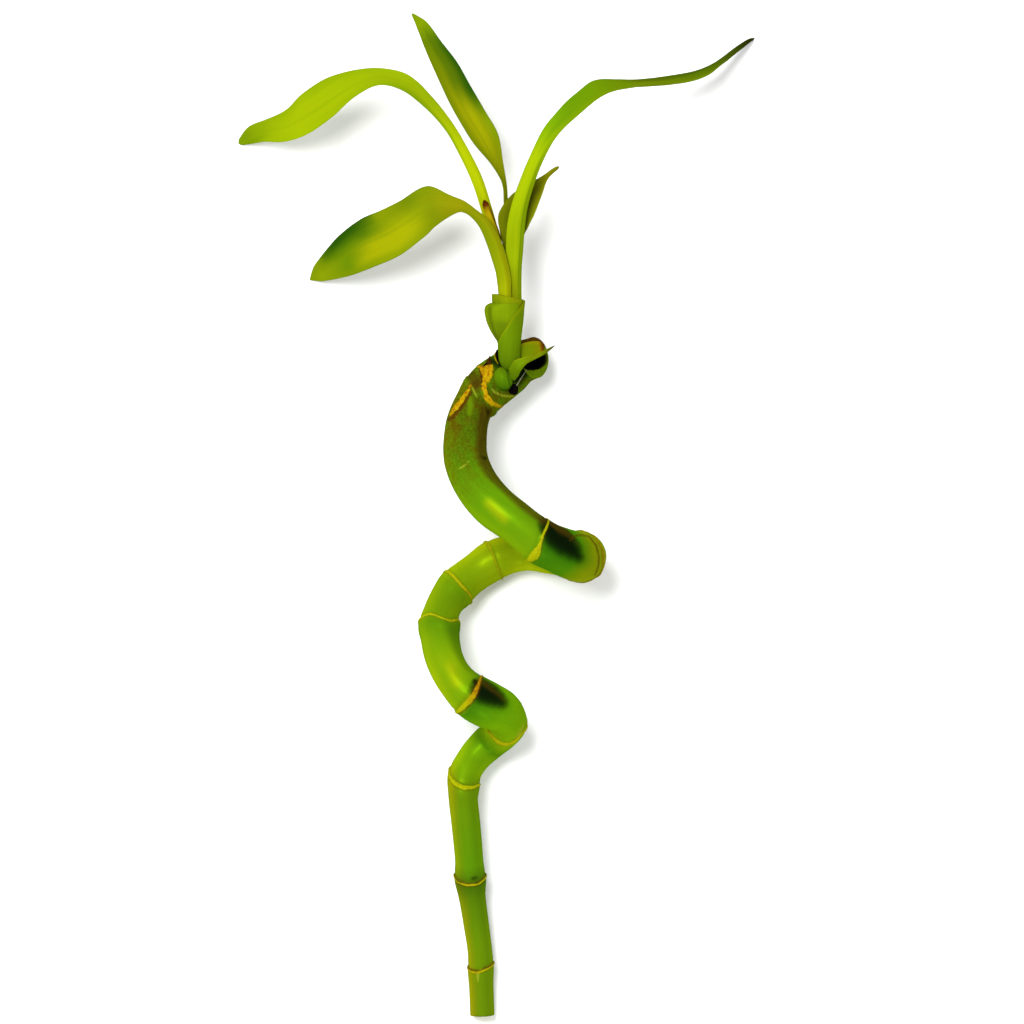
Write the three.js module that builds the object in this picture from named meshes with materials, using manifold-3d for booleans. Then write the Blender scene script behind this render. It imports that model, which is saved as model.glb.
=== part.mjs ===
// Spiral lucky bamboo: a cut cane trained into a coil, with one leafy shoot near its cut top.
// It lies on a flat surface, on its cut foot, the underside of its big turn and three leaf tips.
// Millimetres. X runs across the cane, Y up along its growth, Z up from the surface.
import * as THREE from 'three';
import * as BufferGeometryUtils from 'three/addons/utils/BufferGeometryUtils.js';
import Module from 'manifold-3d';

const wasm = await Module();
wasm.setup();

// Driving dimensions
const GAP = 0.3;
const BLADE_THICKNESS = 0.7;
const CANE_SIDES = 20;
const CANE_STEP = 5;
const SCAR_RIDGE = 0.4;
const SCAR_WIDTH = 0.9;
const SCAR_OFFSETS = [-2.6, -1.1, 0, 1.1, 2.6];
const SWELLING_LENGTH = 4.5;
const SWELLING_BELOW = 1.5;
const SLANT_REACH = 9;
const CUT_TOP_HOLLOW = 4;
const CUT_TOP_FACES = new THREE.Vector3(0.78, 0.15, 0.6);
const CUT_TOP_REACH = 10;
const SHOOT_TOP = 88;
const PETIOLE_START = SHOOT_TOP + 2 * GAP;
const SHOOT_SIDES = 24;
const SHOOT_STEPS = 18;
const OVERLAP_STEP = 0.5;
const OVERLAP_EDGE = { foot: 2.8, collar: 0.6 };
const LEAF_ACROSS = 6;
const STALK_EASE = 0.4;
const FULL_RIPPLE_HALF_WIDTH = 4;

// Centre of the cane from the cut foot to the cut top: x, y, z and diameter.
const CANE_COURSE = [
  [-5.4, -201, 4.9, 9.8],
  [-5.8, -188, 6.6, 9.8],
  [-6.2, -176, 8.4, 9.8],
  [-8, -163, 10.4, 10.2],
  [-9.8, -150, 12.4, 10.8],
  [-10.7, -137, 14.4, 11.2],
  [-12, -123, 16.6, 11.6],
  [-13, -112, 17.4, 11.8],
  [-12.2, -104.2, 15.4, 12.4],
  [-8.6, -97.6, 12.4, 13.2],
  [-3.2, -92, 11.6, 14.2],
  [2.2, -87.4, 15.6, 14.6],
  [4.8, -83, 23, 15.2],
  [2.2, -78.6, 31.6, 17.2],
  [-3.6, -75.8, 36.8, 18.6],
  [-10.2, -71.8, 38.6, 17],
  [-16.4, -65.4, 37, 15.4],
  [-20.3, -58.2, 32.6, 15.2],
  [-22.1, -50.2, 27, 15.4],
  [-22.4, -42.2, 21.6, 14.4],
  [-19.8, -35, 16.6, 14.4],
  [-14.6, -28.6, 12.6, 15],
  [-6.8, -22.4, 9.4, 15.2],
  [1, -17.6, 8.3, 15.6],
  [11.8, -14.9, 8.2, 15.4],
  [22.6, -15.4, 13, 17.2],
  [30.8, -16.2, 21, 18.8],
  [34.2, -16.7, 31, 19.8],
  [32, -16.5, 41.6, 20],
  [26.2, -14.6, 50.6, 19],
  [17.5, -10.5, 56.2, 17.5],
  [7.8, -3, 57.6, 17],
  [-1.1, 3.9, 55, 17.8],
  [-7.9, 12.5, 49.8, 17.8],
  [-11.6, 21.5, 43.6, 17.6],
  [-12.1, 29.8, 37.2, 17.3],
  [-11.2, 37.3, 31.4, 16.8],
  [-8.8, 43.4, 27, 16.4],
  [-5.4, 47.8, 24, 17.8],
  [-1.2, 52.2, 21.6, 19],
  [4.4, 56.4, 20.4, 18.6],
  [10.4, 60.8, 21, 17.2],
  [15.8, 62.8, 22.2, 16.4],
];

// Leaf scars that ring the cane: place between course points, slant and swelling.
// A scar slides up the cane by the slant's share in the direction it faces.
const SCARS = [
  { at: 1.58, slant: [0.8, 0, -2], swelling: 0.4 },
  { at: 4.32, slant: [1, 0, -2.8], swelling: 0.9 },
  { at: 7.75, slant: [-3, 0, -4], swelling: 0.7 },
  { at: 11.6, slant: [0, 0, 0], swelling: 0.4 },
  { at: 14.9, slant: [0, 0, 0], swelling: 0.5 },
  { at: 18.9, slant: [0.8, 0, -1.6], swelling: 0.8 },
  { at: 21, slant: [0, 0, 0], swelling: 0.5 },
  { at: 22.8, slant: [0, 0, 0], swelling: 0.4 },
  { at: 27.2, slant: [0, 0, 0], swelling: 0.3 },
  { at: 30.1, slant: [0, 0, 0.6], swelling: 0.5 },
  { at: 36.9, slant: [-1.5, 0, -1], swelling: 0.3 },
  { at: 38.9, slant: [0, 0, 0], swelling: 0.5 },
];

// Centre of the sheathed shoot from inside the cane's skin to its squared collar:
// x, y, z, width and depth.
const SHOOT_COURSE = [
  [5.8, 53, 25, 6, 6],
  [5.8, 58, 29.5, 6.6, 6.4],
  [5.4, 63, 32, 8.2, 8.2],
  [5.1, 69, 33.2, 9.3, 9.6],
  [4.1, 75.5, 34, 12.8, 11],
  [3.4, 80.5, 34.3, 14.8, 11.4],
  [5, 84.6, 34.4, 12.8, 11.4],
  [5.1, SHOOT_TOP, 34.4, 12.4, 11.4],
];

// Leaves and leaf-like scales. A course row is x, y, z, full width and roll in degrees, where
// a positive roll lifts the left edge, seen along the leaf. `core` is the stalk's thickness,
// `stalk` the share of the length over which it thins, `fold` how far the edges rise.
const LEAVES = {
  leaf_lower_left: {
    colour: 0x8fae00,
    steps: 30,
    core: 3,
    stalk: 0.36,
    fold: 0.16,
    wave: 0.5,
    waves: 3,
    course: [
      [3.8, PETIOLE_START, 38, 5, 0],
      [3.5, 94, 38.5, 5.5, 0],
      [1.4, 102.6, 39.4, 6, 0],
      [-0.9, 109.2, 40.4, 5.8, 0],
      [-4.6, 116.2, 41.4, 4.8, 0],
      [-8.5, 120, 42, 3.8, 0],
      [-12.8, 122.8, 42.4, 4.6, 5],
      [-18.4, 123.3, 42.2, 9.4, 10],
      [-25.8, 121.9, 40.8, 19.4, 12],
      [-32.8, 116.7, 38.4, 19.5, 12],
      [-40.9, 111.4, 34, 20.8, 14],
      [-50, 107.7, 27.5, 21.2, 14],
      [-58.4, 103.6, 19.5, 17, 12],
      [-65.6, 99.4, 11, 11.5, 10],
      [-71, 96.5, 4.5, 7.4, 5],
      [-74.4, 94, 0.35, 1.8, 0],
    ],
  },
  leaf_upper_left: {
    colour: 0xa9c800,
    steps: 26,
    core: 2.6,
    stalk: 0.5,
    fold: 0.14,
    wave: 0.5,
    waves: 3,
    course: [
      [3.2, PETIOLE_START, 32.8, 4.2, 0],
      [2.3, 97, 33.4, 4.5, 0],
      [0.7, 106, 34.2, 4.6, 0],
      [-1.1, 113, 34.9, 4.6, 0],
      [-3.7, 122.5, 36.2, 4.5, 0],
      [-7.4, 133.8, 38.2, 4.6, 0],
      [-12.6, 144.6, 40.6, 4.3, 0],
      [-18.6, 154.8, 43, 4.2, 5],
      [-27.2, 164.8, 45.4, 5.5, 12],
      [-36.4, 172.2, 46.6, 7.4, 25],
      [-46, 174.3, 45.6, 8.2, 38],
      [-55.8, 171.7, 42, 13, 40],
      [-65.6, 166.2, 36, 18.6, 35],
      [-75.2, 160.1, 28, 18.8, 33],
      [-83.4, 155.6, 20, 15, 36],
      [-92.2, 153.8, 11, 9.8, 32],
      [-98.4, 152.2, 5, 7, 18],
      [-103.2, 149.2, 0.35, 2.4, 0],
    ],
  },
  leaf_top: {
    colour: 0x7f9d00,
    steps: 20,
    core: 2.2,
    stalk: 0.38,
    fold: 0.3,
    wave: 0.3,
    waves: 3,
    course: [
      [4.8, PETIOLE_START, 29.9, 3, 0],
      [4.8, 100, 30.4, 3, 10],
      [4.6, 113, 31.6, 2.8, 40],
      [4, 124.6, 33, 2.6, 60],
      [3.4, 131.8, 34, 3.2, 62],
      [0.5, 139.1, 34.6, 7, 48],
      [-4.2, 148.9, 34.6, 12.1, 32],
      [-9.8, 158.2, 33.6, 12.6, 32],
      [-15.3, 168, 31.6, 12.7, 32],
      [-20.4, 178.4, 28.4, 11.6, 30],
      [-25.6, 188.1, 24, 7.6, 25],
      [-29.7, 196.2, 19.5, 4.6, 15],
      [-33.5, 200.9, 16.5, 1.2, 0],
    ],
  },
  leaf_right: {
    colour: 0x6f9b00,
    steps: 26,
    core: 3,
    stalk: 0.45,
    fold: 0.16,
    wave: 0.5,
    waves: 3,
    course: [
      [7.6, PETIOLE_START, 35.2, 5.6, 0],
      [7.4, 98, 36.4, 6.2, 0],
      [7.6, 106, 37.6, 7, 0],
      [8.2, 115, 39, 7.2, 0],
      [9.6, 123, 40.4, 6.6, 0],
      [12.8, 133, 42.2, 6, -5],
      [16.8, 142.7, 44, 5.9, -12],
      [21.8, 152, 45.2, 6.6, -22],
      [27.3, 158.7, 45.6, 8.5, -35],
      [34.7, 165.3, 45.6, 12.8, -52],
      [42, 169.6, 44, 14, -56],
      [51.8, 171.1, 40, 15.5, -71],
      [61.8, 171.9, 34.5, 15.5, -79],
      [71.8, 173, 28, 14, -76],
      [82, 175.9, 20.5, 12, -71],
      [89.8, 180.7, 14, 9, -70],
      [97.4, 186.8, 7, 5.5, -60],
      [102, 190.4, 2.2, 2.4, -45],
      [104, 191.5, 0.35, 0.9, 0],
    ],
  },
  leaf_small: {
    colour: 0x6a8400,
    steps: 20,
    core: 2.2,
    stalk: 0.3,
    fold: 0.2,
    wave: 0.2,
    waves: 2,
    course: [
      [7.6, PETIOLE_START, 31.5, 3.4, 0],
      [6.9, 98, 32.2, 3.8, 0],
      [6.1, 107, 33.6, 6, 0],
      [6.6, 112.6, 34.4, 9.8, 0],
      [7.4, 118, 35, 13, 0],
      [11.3, 124.4, 36, 11.8, 0],
      [16.4, 130.4, 36.6, 6.6, 0],
      [20, 134.7, 37, 2.6, 0],
      [22.8, 137.2, 37.2, 1.8, 0],
      [25.4, 139, 37.2, 1.5, 0],
    ],
  },
  dry_tip: {
    colour: 0x8a4a10,
    steps: 8,
    core: 0.9,
    stalk: 0.3,
    fold: 0.2,
    wave: 0,
    waves: 1,
    course: [
      [2.4, 104, 36, 2, 0],
      [0.9, 112, 36.8, 2.6, 0],
      [-0.6, 118, 37.6, 2.4, 0],
      [-2.4, 123, 38.4, 1.8, 0],
      [-3.8, 125.2, 38.7, 0.9, 0],
    ],
  },
};

// Pointed bract beside the shoot's foot, in the same terms as a leaf.
const BRACT = {
  colour: 0x7d9c10,
  steps: 10,
  core: 1.6,
  stalk: 0.5,
  fold: 0.35,
  wave: 0,
  waves: 1,
  course: [
    [7, 54.5, 30.4, 7.4, -20],
    [10, 58.6, 33, 7.4, -20],
    [14.5, 62.4, 34, 5, -15],
    [19, 64.6, 34, 2.4, -10],
    [23.6, 67.4, 33.4, 0.8, 0],
  ],
};

// Round green bud on the cane below the shoot: centre and half sizes.
const BUD = { centre: [3, 53.4, 29.6], half: [3.7, 5.4, 3.6], turn: 0.25 };

const UP = new THREE.Vector3(0, 0, 1);

const bump = (distance, width) => Math.exp(-((distance / width) ** 2));

// A smooth curve through the places of a course, evaluated by arc length.
function courseCurve(course) {
  const points = course.map(([x, y, z]) => new THREE.Vector3(x, y, z));
  const curve = new THREE.CatmullRomCurve3(points);
  curve.arcLengthDivisions = 2000;
  return curve;
}

// A smooth reading of one column of a course at an arc fraction of its curve.
function columnReader(course, column, curve) {
  const line = new THREE.SplineCurve(course.map((row, i) => new THREE.Vector2(i, row[column])));
  return (fraction) => line.getPoint(curve.getUtoTmapping(fraction)).y;
}

// Arc length at a place given between course points.
function arcAt(curve, course, place) {
  const lengths = curve.getLengths();
  const position = (place / (course.length - 1)) * (lengths.length - 1);
  const whole = Math.floor(position);
  const next = Math.min(whole + 1, lengths.length - 1);
  return THREE.MathUtils.lerp(lengths[whole], lengths[next], position - whole);
}

// A closed tube along a curve with rings at the given arc fractions. shapeAt(fraction, angle,
// facing, along) gives a corner's reach from the centre line and its slide along it.
function sweep(curve, fractions, sides, hollow, shapeAt) {
  const steps = fractions.length - 1;
  const geometry = new THREE.CylinderGeometry(1, 1, steps, sides, steps);
  const frames = [];
  const side = new THREE.Vector3(1, 0, 0);
  for (const fraction of fractions) {
    const along = curve.getTangentAt(fraction);
    side.addScaledVector(along, -side.dot(along)).normalize();
    const up = new THREE.Vector3().crossVectors(side, along);
    frames.push({ centre: curve.getPointAt(fraction), along, side: side.clone(), up });
  }
  const corners = geometry.attributes.position;
  const corner = new THREE.Vector3();
  for (let i = 0; i < corners.count; i += 1) {
    corner.fromBufferAttribute(corners, i);
    const ring = Math.round(corner.y + steps / 2);
    const { centre, along, side: across, up } = frames[ring];
    const angle = Math.atan2(corner.z, corner.x);
    const share = Math.hypot(corner.x, corner.z);
    const facing = new THREE.Vector3()
      .addScaledVector(across, Math.cos(angle))
      .addScaledVector(up, Math.sin(angle));
    const { reach, slide } = shapeAt(fractions[ring], angle, facing, along);
    const dish = ring === steps ? hollow * (1 - share) : 0;
    corner.copy(centre)
      .addScaledVector(facing, reach * share)
      .addScaledVector(along, slide * share - dish);
    corners.setXYZ(i, corner.x, corner.y, corner.z);
  }
  return welded(geometry);
}

// The same surface with its shared corners merged and only positions kept.
function welded(geometry) {
  geometry.deleteAttribute('normal');
  geometry.deleteAttribute('uv');
  return BufferGeometryUtils.mergeVertices(geometry, 1e-4);
}

function toSolid(geometry) {
  const vertProperties = new Float32Array(geometry.attributes.position.array);
  const triVerts = new Uint32Array(geometry.index.array);
  return new wasm.Manifold(new wasm.Mesh({ numProp: 3, vertProperties, triVerts }));
}

function toGeometry(solid) {
  const { vertProperties, triVerts } = solid.getMesh();
  const geometry = new THREE.BufferGeometry();
  geometry.setAttribute('position', new THREE.BufferAttribute(vertProperties, 3));
  geometry.setIndex(new THREE.BufferAttribute(triVerts, 1));
  return geometry;
}

// What is left of a piece once it is cut clear of its neighbours.
function cutClear(geometry, ...neighbours) {
  return toGeometry(neighbours.reduce((left, other) => left.subtract(toSolid(other)), toSolid(geometry)));
}

const caneCurve = courseCurve(CANE_COURSE);
const caneLength = caneCurve.getLength();
const scars = SCARS.map(({ at, slant, swelling }) => ({
  arc: arcAt(caneCurve, CANE_COURSE, at),
  slant: new THREE.Vector3(...slant),
  swelling,
}));

// Rings every few millimetres, closer together at each scar.
function caneFractions() {
  const close = SCAR_OFFSETS.at(-1) + CANE_STEP / 3;
  const places = scars.flatMap(({ arc }) => SCAR_OFFSETS.map((offset) => arc + offset));
  const count = Math.round(caneLength / CANE_STEP);
  for (let i = 0; i <= count; i += 1) {
    const place = (caneLength * i) / count;
    if (scars.every(({ arc }) => Math.abs(arc - place) > close)) places.push(place);
  }
  return places.sort((a, b) => a - b).map((place) => Math.min(1, place / caneLength));
}

// The cane, its radius grown by `extra`. Its last rings lean into the slanted cut at its top.
function caneGeometry(extra) {
  const diameterAt = columnReader(CANE_COURSE, 3, caneCurve);
  const shapeAt = (fraction, angle, facing, along) => {
    const place = fraction * caneLength;
    let reach = diameterAt(fraction) / 2 + extra;
    let slide = 0;
    for (const { arc, slant, swelling } of scars) {
      reach += SCAR_RIDGE * bump(place - arc, SCAR_WIDTH);
      reach += swelling * bump(place - arc + SWELLING_BELOW, SWELLING_LENGTH);
      slide += facing.dot(slant) * bump(place - arc, SLANT_REACH);
    }
    const lean = Math.max(0, 1 - (caneLength - place) / CUT_TOP_REACH);
    slide -= (lean * reach * CUT_TOP_FACES.dot(facing)) / CUT_TOP_FACES.dot(along);
    return { reach, slide };
  };
  return sweep(caneCurve, caneFractions(), CANE_SIDES, CUT_TOP_HOLLOW, shapeAt);
}

// The sheathed shoot: an oval tube with the edge of the overlapping sheath running down it,
// at an angle from the right side that grows from the collar to the foot.
function shootGeometry(extra) {
  const curve = courseCurve(SHOOT_COURSE);
  const widthAt = columnReader(SHOOT_COURSE, 3, curve);
  const depthAt = columnReader(SHOOT_COURSE, 4, curve);
  const fractions = Array.from({ length: SHOOT_STEPS + 1 }, (_, i) => i / SHOOT_STEPS);
  return sweep(curve, fractions, SHOOT_SIDES, 0, (fraction, angle) => {
    const across = widthAt(fraction) / 2;
    const deep = depthAt(fraction) / 2;
    const oval = (across * deep) / Math.hypot(deep * Math.cos(angle), across * Math.sin(angle));
    const edge = THREE.MathUtils.lerp(OVERLAP_EDGE.foot, OVERLAP_EDGE.collar, fraction);
    const overlap = angle > 0 && angle < edge ? OVERLAP_STEP : 0;
    return { reach: oval + overlap * (1 - fraction) + extra, slide: 0 };
  });
}

// A leaf as one thin closed solid, both faces split into triangles alike.
function leafGeometry({ course, steps, core, stalk, fold, wave, waves }) {
  const curve = courseCurve(course);
  const widthAt = columnReader(course, 3, curve);
  const rollAt = columnReader(course, 4, curve);
  const faces = { 1: [], [-1]: [] };
  for (let i = 0; i <= steps; i += 1) {
    const fraction = i / steps;
    const centre = curve.getPointAt(fraction);
    const along = curve.getTangentAt(fraction);
    const level = new THREE.Vector3().crossVectors(UP, along).normalize();
    const rise = new THREE.Vector3().crossVectors(along, level);
    const roll = THREE.MathUtils.degToRad(rollAt(fraction));
    const across = level.clone().multiplyScalar(Math.cos(roll)).addScaledVector(rise, Math.sin(roll));
    const normal = rise.clone().multiplyScalar(Math.cos(roll)).addScaledVector(level, -Math.sin(roll));
    const half = widthAt(fraction) / 2;
    const blade = THREE.MathUtils.smoothstep(fraction, stalk * STALK_EASE, stalk);
    const middle = THREE.MathUtils.lerp(core, BLADE_THICKNESS, blade);
    const full = Math.min(1, half / FULL_RIPPLE_HALF_WIDTH);
    const ripple = full * blade * wave * Math.sin(2 * Math.PI * waves * fraction);
    for (let j = 0; j <= LEAF_ACROSS; j += 1) {
      const share = (2 * j) / LEAF_ACROSS - 1;
      const lift = share ** 2 * (fold * half + ripple * Math.sign(share));
      const thickness = THREE.MathUtils.lerp(middle, BLADE_THICKNESS, share ** 2);
      for (const face of [1, -1]) {
        faces[face].push(centre.clone()
          .addScaledVector(across, share * half)
          .addScaledVector(normal, lift + (face * thickness) / 2));
      }
    }
  }
  return closedBlade(faces[1], faces[-1], steps, LEAF_ACROSS);
}

// Joins an upper and a lower grid of points into one closed surface.
function closedBlade(upper, lower, rows, columns) {
  const at = (i, j) => i * (columns + 1) + j;
  const under = upper.length;
  const triangles = [];
  for (let i = 0; i < rows; i += 1) {
    for (let j = 0; j < columns; j += 1) {
      const [a, b, c, d] = [at(i, j), at(i + 1, j), at(i + 1, j + 1), at(i, j + 1)];
      triangles.push(a, b, c, a, c, d);
      triangles.push(under + a, under + c, under + b, under + a, under + d, under + c);
    }
  }
  const rim = [];
  for (let i = 0; i < rows; i += 1) rim.push(at(i, 0));
  for (let j = 0; j < columns; j += 1) rim.push(at(rows, j));
  for (let i = rows; i > 0; i -= 1) rim.push(at(i, columns));
  for (let j = columns; j > 0; j -= 1) rim.push(at(0, j));
  rim.forEach((here, k) => {
    const next = rim[(k + 1) % rim.length];
    triangles.push(under + here, under + next, next, under + here, next, here);
  });
  const geometry = new THREE.BufferGeometry().setFromPoints([...upper, ...lower]);
  geometry.setIndex(triangles);
  return geometry;
}

function budGeometry(extra) {
  const geometry = new THREE.SphereGeometry(1, 20, 14);
  geometry.scale(...BUD.half.map((half) => half + extra));
  geometry.rotateZ(BUD.turn);
  geometry.translate(...BUD.centre);
  return welded(geometry);
}

const group = new THREE.Group();

function addPiece(name, geometry, color, roughness) {
  const mesh = new THREE.Mesh(geometry, new THREE.MeshStandardMaterial({ color, roughness, metalness: 0 }));
  mesh.name = name;
  group.add(mesh);
}

const caneSpace = caneGeometry(GAP);
const shootSpace = shootGeometry(GAP);
const budSpace = budGeometry(GAP);
addPiece('cane', caneGeometry(0), 0x5f8a00, 0.35);
addPiece('shoot', cutClear(shootGeometry(0), caneSpace), 0x7a9d00, 0.5);
addPiece('bud', cutClear(budGeometry(0), caneSpace, shootSpace), 0x4d7d05, 0.5);
addPiece('bract', cutClear(leafGeometry(BRACT), caneSpace, shootSpace, budSpace), BRACT.colour, 0.5);
for (const [name, leaf] of Object.entries(LEAVES)) {
  addPiece(name, leafGeometry(leaf), leaf.colour, 0.45);
}

export default group;
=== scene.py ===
"""A spiral cane of lucky bamboo with its leafy shoot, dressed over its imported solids.

Tables are in millimetres in the solids' own frame: X runs across the cane, Y up along its growth
and Z up from the surface it lies on. Meshes are made in metres. Colours are linear.
"""

import math

import bmesh
import bpy
import numpy as np
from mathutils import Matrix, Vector, noise


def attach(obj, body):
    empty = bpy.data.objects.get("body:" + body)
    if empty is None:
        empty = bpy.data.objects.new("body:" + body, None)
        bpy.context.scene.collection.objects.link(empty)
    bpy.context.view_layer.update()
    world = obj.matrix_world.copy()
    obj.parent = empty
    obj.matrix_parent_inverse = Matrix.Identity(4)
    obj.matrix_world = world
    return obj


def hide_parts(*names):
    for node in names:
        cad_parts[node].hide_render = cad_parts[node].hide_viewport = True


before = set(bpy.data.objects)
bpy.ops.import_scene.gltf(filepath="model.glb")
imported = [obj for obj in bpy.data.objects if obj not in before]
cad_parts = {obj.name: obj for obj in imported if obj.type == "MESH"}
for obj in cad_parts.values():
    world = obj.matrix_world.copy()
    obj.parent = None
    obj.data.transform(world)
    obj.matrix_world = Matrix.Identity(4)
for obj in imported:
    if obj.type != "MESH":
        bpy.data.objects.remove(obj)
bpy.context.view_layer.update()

# A millimetre in metres, the distance at which a mark no longer shows, and the lowest that a skin
# goes above the surface.
MM = 0.001
FAR = 9.0
LOWEST = 0.02
FULL_TURN = 2 * math.pi

# The camera looks straight down on the middle of the picture, which is 409.6 mm across at the
# height where most of the cane's upper side lies. It sees as far as FARTHEST, in metres.
VIEW_MIDDLE = (6.6, 1.0)
VIEW_WIDTH = 409.6
VIEW_HEIGHT = 30.0
LENS = 500.0
SENSOR = 36.0
FARTHEST = 30.0

# Soft lamps aimed at the plant, in metres and watts: place, size and power.
LAMPS = {
    "key light": ((-0.55, 0.6, 2.1), 1.0, 64.0),
    "low light": ((0.1, -1.8, 0.9), 0.45, 9.0),
}
EVEN_LIGHT = 0.85
FLOOR_SIZE = 8.0
FLOOR_GREY = 0.86

# Tones are written as they look under the lamps; a material's own colour is this share of them.
# Leaves and sheaths face the lamps more squarely, so theirs is smaller again.
LIT_SHARE = 0.56
LEAF_SHARE = 0.82

# Centre of the cane from the cut foot to the cut top: x, y, z and diameter.
CANE_COURSE = [
    (-5.4, -201, 4.9, 9.8), (-5.8, -188, 6.6, 9.8), (-6.2, -176, 8.4, 9.8),
    (-8, -163, 10.4, 10.2), (-9.8, -150, 12.4, 10.8), (-10.7, -137, 14.4, 11.2),
    (-12, -123, 16.6, 11.6), (-13, -112, 17.4, 11.8), (-12.2, -104.2, 15.4, 12.4),
    (-8.6, -97.6, 12.4, 13.2), (-3.2, -92, 11.6, 14.2), (2.2, -87.4, 15.6, 14.6),
    (4.8, -83, 23, 15.2), (2.2, -78.6, 31.6, 17.2), (-3.6, -75.8, 36.8, 18.6),
    (-10.2, -71.8, 38.6, 17), (-16.4, -65.4, 37, 15.4), (-20.3, -58.2, 32.6, 15.2),
    (-22.1, -50.2, 27, 15.4), (-22.4, -42.2, 21.6, 14.4), (-19.8, -35, 16.6, 14.4),
    (-14.6, -28.6, 12.6, 15), (-6.8, -22.4, 9.4, 15.2), (1, -17.6, 8.3, 15.6),
    (11.8, -14.9, 8.2, 15.4), (22.6, -15.4, 13, 17.2), (30.8, -16.2, 21, 18.8),
    (34.2, -16.7, 31, 19.8), (32, -16.5, 41.6, 20), (26.2, -14.6, 50.6, 19),
    (17.5, -10.5, 56.2, 17.5), (7.8, -3, 57.6, 17), (-1.1, 3.9, 55, 17.8),
    (-7.9, 12.5, 49.8, 17.8), (-11.6, 21.5, 43.6, 17.6), (-12.1, 29.8, 37.2, 17.3),
    (-11.2, 37.3, 31.4, 16.8), (-8.8, 43.4, 27, 16.4), (-5.4, 47.8, 24, 17.8),
    (-1.2, 52.2, 21.6, 19), (4.4, 56.4, 20.4, 18.6), (10.4, 60.8, 21, 17.2),
    (15.8, 62.8, 22.2, 16.4),
]

# The cane skin's mesh: sides, the spacing of its rings away from a scar and at one, and the extra
# rings round the torn skin near the top.
CANE_SIDES = 96
RING_SPACING = 0.95
SCAR_RING_SPACING = 0.35
SCAR_RING_REACH = 2.2
TORN_SKIN = {"at": 38, "extra": 0.5, "reach": 12}

# Shares of the radius at the rings that close the two cut ends, and the share under which a ring
# is inside the skin.
FOOT_SHARES = np.linspace(0.04, 0.97, 12)
TOP_SHARES = np.concatenate([np.linspace(0.985, 0.8, 8), np.linspace(0.77, 0.04, 18)])
SKIN_SHARE = 0.99

# How far along the cane a scar shifts the rings, a scar's line is looked for and a mark reaches.
# A mark fades where the skin lies this drop above or below it, and the rim's mark all but never.
SLIDE_REACH = 9.0
SCAR_WINDOW = 14.0
MARK_WINDOW = 28.0
MARK_DROP = 4.0
RIM_DROP = 81.0

# The scar's ridge, the groove above it and the swelling of the cane below it.
RIDGE = {"height": 0.4, "width": 0.55}
GROOVE = {"depth": 0.18, "width": 0.6, "above": 1.2}
SWELLING_LENGTH = 4.5
SWELLING_BELOW = 1.5

# The skin's own unevenness: height, and scale round and along the cane.
UNEVENNESS = [(0.16, (0.12, 0.12, 0.04)), (0.03, (0.8, 0.8, 0.08))]

# The slanted cut at the top: where it faces, how far down it reaches and its hollow.
CUT_TOP_FACES = (0.78, 0.15, 0.6)
CUT_TOP_REACH = 10.0
HOLLOW = {"middle": (14.8, 62.6), "half": (6, 4.6), "depth": 9.0}

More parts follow.
